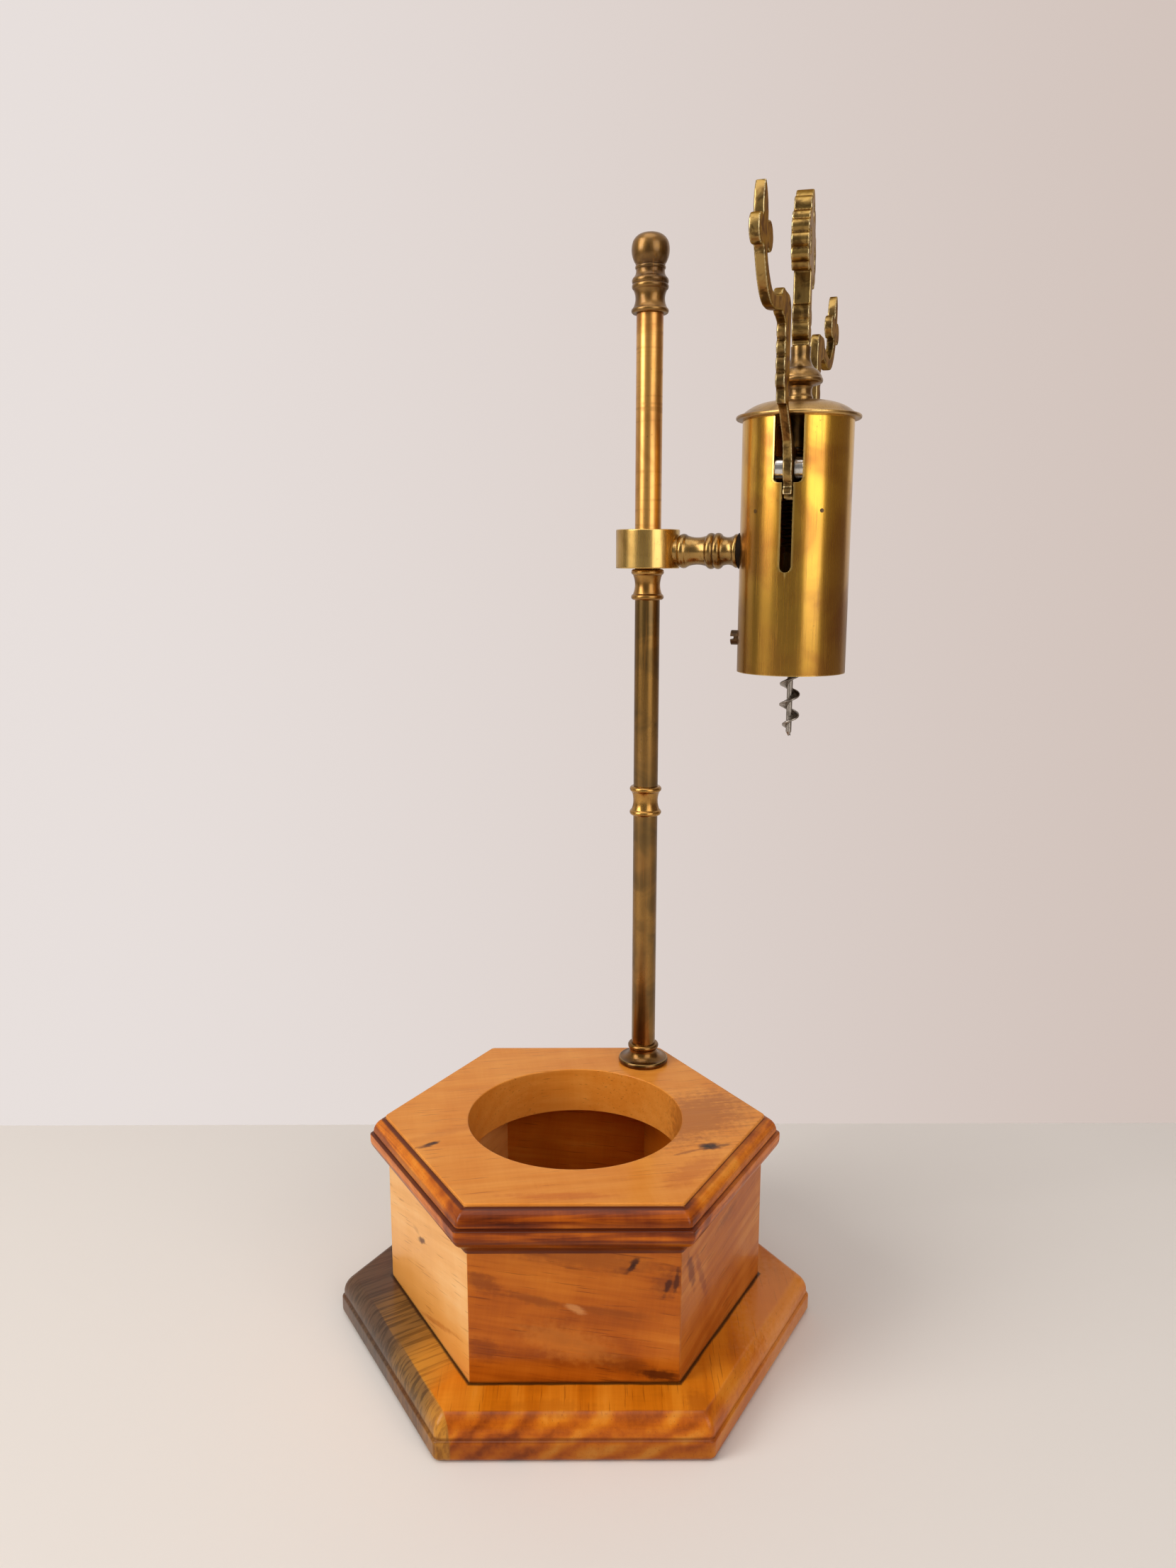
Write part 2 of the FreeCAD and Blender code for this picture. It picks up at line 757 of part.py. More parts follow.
def lever_shape():
    # Flat cast lever in the XZ plane: pivot at the origin, +X out of the slot, +Z up.
    # The ornament is placed from the plate's foot, which clears the barrel's cap.
    hub = sector_radius - 1.25 * gear_module - 1.75
    foot_x = cap_radius + lever_standoff - pivot_radius
    foot_z = pivot_below_barrel_top + lever_over_cap

    def out(x, z):
        return foot_x + x, foot_z + z

    shank = polygon((hub - 1, -2), (hub, 3), (hub + 1.5, 9), out(1.3, -0.5), out(6.8, 2),
                    out(5, 6), out(0, 1.5), out(-7.2, -5.5), (2, hub), (0, 0))
    plate = polygon(out(0, 0.5), out(6.8, 0.5), out(7.5, 2), out(7.5, 32), out(0, 32))
    shoulder = face(out(0, 27), out(0, 32), (out(1.6, 36), out(6, 37.6)), out(14.8, 37.8), out(14.8, 29),
                    out(7.5, 26.5))
    lobes = [disc(*out(7.4, 8.4 + lobe_step * k), lobe_radius) for k in range(5)]
    bud = disc(*out(14.8, 33.3), bud_radius)
    leaf = [disc(*out(58.9, 46.4), 4.7), disc(*out(44.5, 47.3), 4.8), disc(*out(51.8, 46.5), 5.5),
            disc(*out(52.8, 52.5), 3.2)]
    outlines = (shank, plate, shoulder, stem_band(out), leaf_point(out))
    flat = [disc(0, 0, hub)] + [blank(outline) for outline in outlines]
    body = join(flat + lobes + [bud] + leaf + sector_teeth())
    return body.cut(Part.makeCylinder(pin_radius + running, 20, V(0, -10, 0), V(0, 1, 0)))


def curve(points):
    spline = Part.BSplineCurve()
    spline.interpolate([point(pair) for pair in points])
    return spline.toShape()


def stem_band(out):
    # S-shaped stem between the bud and the leaf, with curved edges
    lower = [out(13, 30.4), out(18.8, 29.7), out(29.3, 28.0), out(38.3, 27.9), out(44.3, 30.0),
             out(49.4, 34.4), out(54.0, 41.0)]
    upper = [out(49.4, 43.0), out(46.4, 38.2), out(42.6, 35.0), out(38.3, 32.8), out(29.3, 32.8),
             out(18.8, 34.9), out(13, 36.4)]
    edges = [curve(lower), Part.LineSegment(point(lower[-1]), point(upper[0])).toShape(), curve(upper),
             Part.LineSegment(point(upper[-1]), point(lower[0])).toShape()]
    return Part.Face(Part.Wire(edges))


def leaf_point(out):
    # Pointed middle lobe of the leaf
    return face(out(49.6, 48), (out(49.4, 55.5), out(53.9, 62)), (out(56.6, 55.0), out(55.2, 48)))


def make_levers():
    lever = move(lever_shape(), pivot_radius, 0, pivot_z)
    for name, side in (("front", -1), ("back", 1)):
        node("lever_" + name, at_slot(lever, side))


def make_pivots():
    across = V(0, 1, 0)
    middle = V(pivot_radius, 0, pivot_z)
    lug_out = slot_half + lug_thickness
    pin = lying(pin_radius, -lug_out, lug_out, across, middle)
    bore = lying(pin_radius + seat, -lug_out - 1, lug_out + 1, across, middle)
    full = rod(push_radius, barrel_z, barrel_top_z)
    shell = full.cut(rod(push_radius - barrel_wall, barrel_z, barrel_top_z))
    flange = shell.common(box((0, barrel_radius), (slot_half, lug_out + lug_flange_width),
                              (pivot_z - lug_flange_down, pivot_z + lug_flange_up)))
    ear = full.common(box((pivot_radius - lug_radius, barrel_radius), (slot_half, lug_out),
                          (pivot_z - lug_radius, pivot_z + lug_radius)))
    lug = join([ear, flange]).cut(bore)
    lug_pair = []
    for side_x in (-1, 1):
        one = lug if side_x > 0 else lug.mirror(V(0, 0, 0), V(0, 1, 0))
        lug_pair.append(one.cut(rivet(side_x, seat)))
    collars = []
    for low in (collar_inner, -collar_outer):
        collar = lying(collar_radius, low, low + collar_outer - collar_inner, across, middle)
        collars.append(collar.cut(bore))
    rivets = []
    for name, side in (("front", -1), ("back", 1)):
        node("pivot_pin_" + name, at_slot(pin, side))
        node("lever_lugs_" + name, *[at_slot(one, side) for one in lug_pair])
        node("pin_collars_" + name, *[at_slot(one, side) for one in collars])
        rivets += [at_slot(rivet(side_x, 0), side) for side_x in (-1, 1)]
    node("lug_rivets", *rivets)


# ---------------------------------------------------------------- rack, spindle, worm
def make_rack_sleeve():
    # Ring-shaped rack teeth, so that the spindle can be turned at any height
    slope = math.tan(math.radians(pressure_angle))
    half = (tooth_step / 2 - gear_backlash) / 2
    at_crest = half - gear_module * slope
    at_root = half + 1.25 * gear_module * slope
    lowest = -int((lift + rack_end - tooth_step / 2) / tooth_step)
    highest = int((rack_end - tooth_step / 2) / tooth_step)
    profile = [(rack_root_radius, sleeve_z)]
    for k in range(lowest, highest + 1):
        z = pivot_z + k * tooth_step
        profile += [(rack_root_radius, z - at_root), (rack_crest_radius, z - at_crest),
                    (rack_crest_radius, z + at_crest), (rack_root_radius, z + at_root)]
    profile += [(rack_root_radius, sleeve_top_z), (spindle_radius + running, sleeve_top_z)]
    node("rack_sleeve", on_head(turned((spindle_radius + running, sleeve_z), *profile)))


def make_spindle():
    # Shaft through the sleeve, with the worm's socket below it
    shaft = rod(spindle_radius, socket_top_z - 1, boss_z + shaft_in_boss)
    socket = turned(
        (0, worm_top_z + 0.6),
        (socket_radius - 1.0, worm_top_z),
        (socket_radius, worm_top_z + 1.0),
        (socket_radius, socket_top_z),
        (0, socket_top_z),
    )
    blind = rod(worm_shank + seat, worm_top_z - 1, worm_top_z + shank_grip + 0.3)
    node("spindle", on_head(join([shaft, socket]).cut(blind)))


def make_worm():
    # Core and shank in one, with a right-handed blade trimmed by the cone of the point
    blade_low = worm_tip_z - worm_pitch
    blade_high = worm_top_z - worm_helix_top
    shank_z = blade_high + 4
    widening = (worm_radius - worm_point) / worm_tip_length
    core = turned(
        (0, worm_tip_z),
        (worm_point, worm_tip_z),
        (worm_core, worm_tip_z + (worm_core - worm_point) / widening),
        (worm_core, shank_z),
        (worm_shank, shank_z + 0.5),
        (worm_shank, worm_top_z + shank_grip),
        (0, worm_top_z + shank_grip),
    )
    root = worm_core - 0.35
    rim = worm_radius + 0.5
    wide = worm_blade_root / 2
    thin = worm_blade_rim / 2
    corners = [(root, -wide), (rim, -thin), (rim, thin), (root, wide), (root, -wide)]
    section = Part.Wire(Part.makePolygon([point(pair) for pair in corners]))
    helix = Part.Wire(Part.makeHelix(worm_pitch, blade_high - blade_low, worm_core))
    blade = helix.makePipeShell([section], True, True)
    turns_to_left = (worm_left_above_tip + worm_pitch) / worm_pitch
    blade = move(turn(blade, worm_left_angle - 360 * turns_to_left), 0, 0, blade_low)
    wide_end = worm_point + widening * worm_length
    cone = Part.makeCone(worm_point, wide_end, worm_length, V(0, 0, worm_tip_z), AXIS)
    blade = blade.common(cone).common(rod(worm_radius, worm_tip_z - 1, shank_z))
    node("worm", on_head(join([blade.Solids[0], core])))


# ---------------------------------------------------------------- handle
def cross_pin(half, extra):
    # Pin through the boss and the plate's tang
    level = V(0, 0, boss_top_z - cross_pin_below_top)
    return turn(lying(cross_pin_radius + extra, -half, half, V(1, 0, 0), level), plate_turn)


def make_handle_boss():
    z = mushroom_z
    rim = mushroom_radius
    body = turned(
        (0, boss_z),
        (neck_radius, boss_z),
        (neck_radius, z - 1.0),
        ((neck_radius + 0.5, z + 0.2), (rim - 1.3, z + 1.0)),
        ((rim, z + 2.9), (rim - 0.9, z + 4.6)),
        ((neck_radius - 0.9, z + 7.2), (3.6, boss_top_z)),
        (0, boss_top_z),
    )
    body = body.cut(rod(spindle_radius + seat, boss_z - 1, boss_z + shaft_in_boss + hole_clearance))
    body = body.cut(rod(tang_radius + seat, boss_top_z - tang_length - hole_clearance, boss_top_z + 1))
    node("handle_boss", on_head(body.cut(cross_pin(mushroom_radius, seat))))


def make_handle():
    # Upright ornamental plate, symmetrical about the spindle, broad side along X before it is
    # turned: a lower scroll, a waist, two pierced scrolls with scalloped edges and a crest
    low = boss_top_z
    high = low + plate_height
    half = plate_thickness / 2
    crest = crest_radius
    scroll_x = scroll_reach
    scroll_z = high - scroll_below_crest

    def round_blank(x, z, radius):
        return Part.makeCylinder(radius, plate_thickness, V(x, -half, z), V(0, 1, 0))

    def slab(shape):
        return move(shape, 0, -half).extrude(V(0, plate_thickness, 0))

    solid = [slab(polygon((-3.4, low), (3.4, low), (4.4, low + 15), (4.2, scroll_z - 6), (5.5, high - crest),
                          (-5.5, high - crest), (-4.2, scroll_z - 6), (-4.4, low + 15))),
             round_blank(0, high - crest, crest)]
    holes = [round_blank(0, high - crest, crest_hole)]
    for side in (-1, 1):
        solid.append(round_blank(side * 4.7, low + 5.5, 3.6))
        solid.append(round_blank(side * 5.4, low + 11.2, 3.3))
        solid.append(round_blank(side * scroll_x, scroll_z, scroll_radius))
        solid.append(round_blank(side * 9.8, high - 9.2, 4.6))
        solid.append(slab(polygon((0, scroll_z - 7.5), (side * scroll_x, scroll_z - 8.4),
                                  (side * scroll_x, scroll_z + 8.4), (0, scroll_z + 9.5))))
        for k in range(6):
            angle = math.radians(33 * k - 75)
            x = scroll_x + (scroll_radius - 0.4) * math.cos(angle)
            z = scroll_z + (scroll_radius - 0.4) * math.sin(angle)
            solid.append(round_blank(side * x, z, scallop_radius))
        holes.append(round_blank(side * scroll_x, scroll_z, scroll_hole))
        holes.append(round_blank(side * 5.2, low + 8.3, 1.5))
    body = join(solid + [rod(tang_radius, low - tang_length, low + 1)])
    for hole in holes:
        body = body.cut(hole)
    body = turn(body, 90 + plate_turn).cut(cross_pin(mushroom_radius, seat))
    node("handle_plate", on_head(body))
    node("handle_pin", on_head(cross_pin(cross_pin_half, 0)))


# ---------------------------------------------------------------- build and write
make_plinth()
make_plinth_screws()
make_side_boards()
make_top_board()
make_tie_rod()
make_column_foot()
make_tubes()
make_knop("lower_knop", lower_knop_z)
make_knop("upper_knop", upper_knop_z)
make_finial()
make_slide_bush()
make_ring()
make_arm()
make_arm_fixings()
make_barrel()
make_neck_guide()
make_guide_screw()
make_barrel_cap()
make_levers()
make_pivots()
make_rack_sleeve()
make_spindle()
make_worm()
make_handle_boss()
make_handle()

os.makedirs("parts", exist_ok=True)
for name, solids in nodes.items():
    shape = solids[0] if len(solids) == 1 else Part.makeCompound(solids)
    shape.exportStep("parts/" + name + ".step")
    bounds = shape.BoundBox
    heights = round(bounds.ZMin, 1), round(bounds.ZMax, 1)
    print(name, len(solids), "solids", round(shape.Volume), "mm3, z", *heights)
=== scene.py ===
import bpy
import bmesh
import math
import numpy as np
from mathutils import Euler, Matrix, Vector


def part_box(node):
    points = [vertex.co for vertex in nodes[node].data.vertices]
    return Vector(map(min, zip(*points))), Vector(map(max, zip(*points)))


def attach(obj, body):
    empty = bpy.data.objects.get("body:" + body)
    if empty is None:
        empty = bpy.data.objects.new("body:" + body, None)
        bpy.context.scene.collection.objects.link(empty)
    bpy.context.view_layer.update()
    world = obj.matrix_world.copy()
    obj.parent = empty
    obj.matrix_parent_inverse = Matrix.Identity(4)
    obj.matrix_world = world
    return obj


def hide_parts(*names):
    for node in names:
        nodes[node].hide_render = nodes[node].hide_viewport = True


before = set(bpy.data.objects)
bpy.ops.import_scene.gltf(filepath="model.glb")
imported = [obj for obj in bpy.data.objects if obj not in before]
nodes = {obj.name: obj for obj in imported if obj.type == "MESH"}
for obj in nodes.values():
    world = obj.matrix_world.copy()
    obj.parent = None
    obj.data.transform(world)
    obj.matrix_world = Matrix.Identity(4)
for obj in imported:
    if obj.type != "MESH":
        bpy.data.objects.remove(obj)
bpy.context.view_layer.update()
mm = 0.001
print("frame loaded with", len(nodes), "nodes")


# the two upright axes and the head's turn, read off the frame
def middleOf(node):
    low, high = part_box(node)
    return np.array((low + high) / 2)


columnAxis = middleOf("upper_tube")[:2]
headAxis = middleOf("barrel")[:2]
headTurn = math.atan2(*(headAxis - columnAxis)[::-1])
headOut = np.array([math.cos(headTurn), math.sin(headTurn), 0.0])
headAcross = np.array([-math.sin(headTurn), math.cos(headTurn), 0.0])


def paint(red, green, blue):
    # screen colour 0..255 to linear: ((c + 0.055) / 1.055) ** 2.4 above the toe
    screen = np.array([red, green, blue]) / 255
    linear = np.where(screen <= 0.04045, screen / 12.92, ((screen + 0.055) / 1.055) ** 2.4)
    return (*linear.tolist(), 1.0)


# shader sockets as numbers
def plug(socket, value):
    if isinstance(value, Flow):
        value.tree.links.new(value.socket, socket)
    elif value is not None:
        socket.default_value = value


def addNode(tree, kind, settings, sockets, output=0):
    # a node's type, its settings (a ramp's stops among them), and its sockets by name or number
    made = tree.nodes.new(kind)
    for key, value in settings.items():
        if key == "stops":
            setStops(made.color_ramp.elements, value)
        else:
            setattr(made, key, value)
    for key, value in sockets.items():
        plug(made.inputs[key], value)
    return Flow(tree, made.outputs[output]) if made.outputs else made


def setStops(elements, stops):
    while len(elements) < len(stops):
        elements.new(0.5)
    for element, (position, colour) in zip(elements, stops):
        element.position, element.color = position, colour


class Flow:
    # an output socket; arithmetic on it adds Math nodes
    def __init__(self, tree, socket):
        self.tree = tree
        self.socket = socket

    def math(self, operation, *values):
        return addNode(self.tree, "ShaderNodeMath", {"operation": operation}, dict(enumerate(values)))

    def __add__(self, other):
        return self.math("ADD", self, other)

    __radd__ = __add__

    def __mul__(self, other):
        return self.math("MULTIPLY", self, other)

    __rmul__ = __mul__

    def __sub__(self, other):
        return self.math("SUBTRACT", self, other)

    def __rsub__(self, other):
        return self.math("SUBTRACT", other, self)

    def __truediv__(self, other):
        return self.math("DIVIDE", self, other)

    def __rtruediv__(self, other):
        return self.math("DIVIDE", other, self)

    def sine(self):
        return self.math("SINE", self)

    def size(self):
        return self.math("ABSOLUTE", self)

    def root(self):
        return self.math("SQRT", self)

    def larger(self, other):
        return self.math("MAXIMUM", self, other)

    def between(self, low, high, unit=1):
        # smooth step from 0 at low to 1 at high
        return addNode(self.tree, "ShaderNodeMapRange", {"interpolation_type": "SMOOTHSTEP"},
                       {0: self, 1: low * unit, 2: high * unit, 3: 0.0, 4: 1.0})

    def past(self, low, high):
        # the same in millimetres
        return self.between(low, high, mm)


class Recipe:
    # a material being written; its nodes come from addNode
    def __init__(self, name):
        self.material = bpy.data.materials.new(name)
        self.material.use_nodes = True
        self.tree = self.material.node_tree
        self.tree.nodes.clear()

    def node(self, kind, settings, sockets, output=0):
        return addNode(self.tree, kind, settings, sockets, output)

    def place(self):
        return self.node("ShaderNodeTexCoord", {}, {}, "Object")

    def attribute(self, name):
        return self.node("ShaderNodeAttribute", {"attribute_name": name}, {}, "Fac")

    def along(self, vector, direction):
        # share of the vector along a direction, in metres
        return self.node("ShaderNodeVectorMath", {"operation": "DOT_PRODUCT"}, {0: vector, 1: direction}, "Value")

    def vector(self, x, y, z):
        return self.node("ShaderNodeCombineXYZ", {}, {0: x, 1: y, 2: z})

    def scaled(self, vector, factors):
        return self.node("ShaderNodeVectorMath", {"operation": "MULTIPLY"}, {0: vector, 1: factors})

    def noise(self, vector, scale, detail=2.0, roughness=0.5, distortion=0.0):
        sockets = {"Vector": vector, "Scale": scale, "Detail": detail, "Roughness": roughness,
                   "Distortion": distortion}
        return self.node("ShaderNodeTexNoise", {}, sockets, "Fac")

    def mix(self, factor, first, second):
        return self.node("ShaderNodeMix", {"data_type": "RGBA"}, {0: factor, 6: first, 7: second}, 2)

    def laid(self, mask, colour, shade):
        # a plain shade over the colour, as far as the mask lets it
        return self.mix(mask, colour, paint(*shade))

    def ramp(self, value, shades):
        # evenly spaced shades, from 0 to 1
        stops = [(k / (len(shades) - 1), paint(*shade)) for k, shade in enumerate(shades)]
        return self.node("ShaderNodeValToRGB", {"stops": stops}, {0: value})

    def bump(self, height, strength, distance, under=None):
        return self.node("ShaderNodeBump", {}, {"Strength": strength, "Distance": distance,
                                                "Height": height, "Normal": under})

    def ray(self, kind):
        return self.node("ShaderNodeLightPath", {}, {}, f"Is {kind} Ray")

    def glow(self, colour):
        return self.node("ShaderNodeEmission", {}, {0: colour, 1: 1.0})

    def output(self, shader):
        self.node("ShaderNodeOutputMaterial", {}, {0: shader})
        return self.material

    def finish(self, sockets):
        return self.output(self.node("ShaderNodeBsdfPrincipled", {}, sockets))


# profiles and surfaces
def arcThrough(start, via, end, fine):
    # circle through three points: centre + radius * (cos a, sin a), a evenly spaced by way of via
    a, b, c = (complex(*pair) for pair in (start, via, end))
    w = (c - a) / (b - a)
    centre = (b - a) * (w - abs(w) ** 2) / (2j * w.imag) + a
    first, mid, last = (np.angle(pair - centre) for pair in (a, b, c))
    turn = (last - first) % (2 * math.pi)
    if (mid - first) % (2 * math.pi) > turn:
        turn -= 2 * math.pi
    angles = first + turn * np.linspace(0, 1, fine)[1:]
    points = centre + abs(a - centre) * np.exp(1j * angles)
    return list(zip(points.real, points.imag))


def outline(start, *steps, fine=9, base=0.0):
    # profile of (reach, height above base) points; a step is an end point, or (via, end) for an arc
    points = [start]
    for step in steps:
        if isinstance(step[0], tuple):
            points += arcThrough(points[-1], step[0], step[1], fine)
        else:
            points.append(step)
    return np.array(points, float) + (0.0, base)


def softened(points, size, closed=False, fine=5):
    # each corner B sharper than 14 degrees becomes (1-t)^2 A + 2t(1-t) B + t^2 C, where A and C
    # lie on its two sides, size away from B or 0.4 of the side if that is less
    before = np.roll(points, 1, 0)
    after = np.roll(points, -1, 0)
    soft = []
    t = np.linspace(0, 1, fine)[:, None]
    for k, corner in enumerate(points):
        back, ahead = before[k] - corner, after[k] - corner
        lengths = np.hypot(*back), np.hypot(*ahead)
        if not closed and k in (0, len(points) - 1) or min(lengths) < 1e-6:
            soft.append(corner[None])
            continue
        cosine = np.dot(back, ahead) / lengths[0] / lengths[1]
        if cosine < -math.cos(math.radians(14)):
            soft.append(corner[None])
            continue
        a = corner + back / lengths[0] * min(size, 0.4 * lengths[0])
        c = corner + ahead / lengths[1] * min(size, 0.4 * lengths[1])
        soft.append((1 - t) ** 2 * a + 2 * t * (1 - t) * corner + t ** 2 * c)
    return np.concatenate(soft)


def meshFromGrid(name, grid, closedRows=False, closedColumns=True):
    # grid[row, column] is a point in metres; neighbours make quads, counted round where it closes
    rows, columns = grid.shape[:2]
    index = np.arange(rows * columns).reshape(rows, columns)
    right = np.roll(index, -1, 1)
    quads = np.stack([index, right, np.roll(right, -1, 0), np.roll(index, -1, 0)], -1)
    quads = quads[:rows if closedRows else rows - 1, :columns if closedColumns else columns - 1]
    mesh = bpy.data.meshes.new(name)
    mesh.from_pydata(grid.reshape(-1, 3).tolist(), [], quads.reshape(-1, 4).tolist())
    return mesh


def joined(name, meshes):
    # several shells in one mesh
    work = bmesh.new()
    for mesh in meshes:
        work.from_mesh(mesh)
    whole = bpy.data.meshes.new(name)
    work.to_mesh(whole)
    work.free()
    return whole


def closeSeams(mesh, distance=2e-6, sliver=None):
    # merges the doubles at seams and poles, drops slivers, then turns every face outwards
    work = bmesh.new()
    work.from_mesh(mesh)
    bmesh.ops.remove_doubles(work, verts=work.verts, dist=distance)
    if sliver:
        bmesh.ops.dissolve_degenerate(work, edges=work.edges, dist=sliver)
    bmesh.ops.recalc_face_normals(work, faces=work.faces)
    work.to_mesh(mesh)
    work.free()


def linked(name, data):
    piece = bpy.data.objects.new(name, data)
    bpy.context.scene.collection.objects.link(piece)
    return piece


def worked(name, mesh, *modifiers):
    # the mesh as its modifiers leave it; each one is a type and its settings
    piece = linked(name, mesh)
    for kind, settings in modifiers:
        modifier = piece.modifiers.new(kind.lower(), kind)
        for key, value in settings.items():
            setattr(modifier, key, value)
    solid = bpy.data.meshes.new_from_object(piece.evaluated_get(bpy.context.evaluated_depsgraph_get()))
    bpy.data.objects.remove(piece)
    return solid


def markHollows(mesh, reach, rounds=2):
    # "hollow" at a vertex: mean over its edges of normal . (neighbour - vertex) / length^2, times
    # reach; above 0 in grooves, below 0 on ridges, then averaged with its neighbours
    count = len(mesh.vertices)
    points = np.zeros(count * 3)
    normals = np.zeros(count * 3)
    mesh.vertices.foreach_get("co", points)
    mesh.vertices.foreach_get("normal", normals)
    points, normals = points.reshape(-1, 3), normals.reshape(-1, 3)
    edges = np.zeros(len(mesh.edges) * 2, int)
    mesh.edges.foreach_get("vertices", edges)
    a, b = edges.reshape(-1, 2).T
    step = points[b] - points[a]
    square = np.maximum((step ** 2).sum(1), 1e-12)
    degree = np.maximum(np.bincount(a, minlength=count) + np.bincount(b, minlength=count), 1)
    bend = np.bincount(a, (normals[a] * step).sum(1) / square, count)
    bend -= np.bincount(b, (normals[b] * step).sum(1) / square, count)
    bend = np.clip(bend / degree * reach, -1, 1)
    for _ in range(rounds):
        around = np.bincount(a, bend[b], count) + np.bincount(b, bend[a], count)
        bend = 0.5 * bend + 0.5 * around / degree
    mesh.attributes.new("hollow", "FLOAT", "POINT").data.foreach_set("value", bend.astype(np.float32))


def addPiece(name, mesh, body, material, node, reach=0.0006, flats=True, rounds=2):
    # a finished surface that stands for one node of the frame and moves with a body
    closeSeams(mesh, sliver=1e-7)
    mesh.shade_smooth()
    markHollows(mesh, reach, rounds)
    piece = linked(name, mesh)
    mesh.materials.append(material)
    if flats:  # wide faces keep their own normals, so that flats stay flat beside soft edges
        piece.modifiers.new("evenShading", "WEIGHTED_NORMAL").weight = 60
    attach(piece, body)
    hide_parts(node)


def turnedMesh(name, profile, origin, axis=(0, 0, 1), first=(1, 0, 0), columns=96, closed=False):
    # profile of (radius r, height h) round an axis: origin + r (cos a first + sin a second) + h axis
    axis, first = np.array(axis, float), np.array(first, float)
    second = np.cross(axis, first)
    a = np.linspace(0, 2 * math.pi, columns, endpoint=False)
    ring = np.cos(a)[:, None] * first + np.sin(a)[:, None] * second
    radius, height = (profile[:, k, None, None] * mm for k in (0, 1))
    grid = np.asarray(origin, float) + radius * ring[None] + height * axis
    return meshFromGrid(name, grid, closedRows=closed)


# wood: noise by name, as factors along and across the grain, scale, detail, roughness
woodNoise = {"uneven": (0.1, 1, 60.0), "broken": (0.5, 1.4, 48.0), "fibre": (26, 560, 1.0, 3.0, 0.6),
             "comb": (900, 90, 1.0, 1.0), "pores": (60, 1500, 1.0, 1.0)}
# where a mask starts and where it is full, in the values of what it is made from
woodSpans = {"broken": (0.35, 0.62), "pores": (0.64, 0.74), "heartLines": (0.42, 0.6), "heartWarm": (0.45, 0.7),
             "stain": (0.3, 1.0), "paintedGrooveShade": (0.02, 0.5), "worn": (0.08, 0.7), "grooveRough": (0.05, 0.6)}
varnish = {"rough": 0.32, "specular": 0.16, "coat": 0.14, "coatRough": 0.1, "fineBump": 0.2, "brushBump": 0.1}


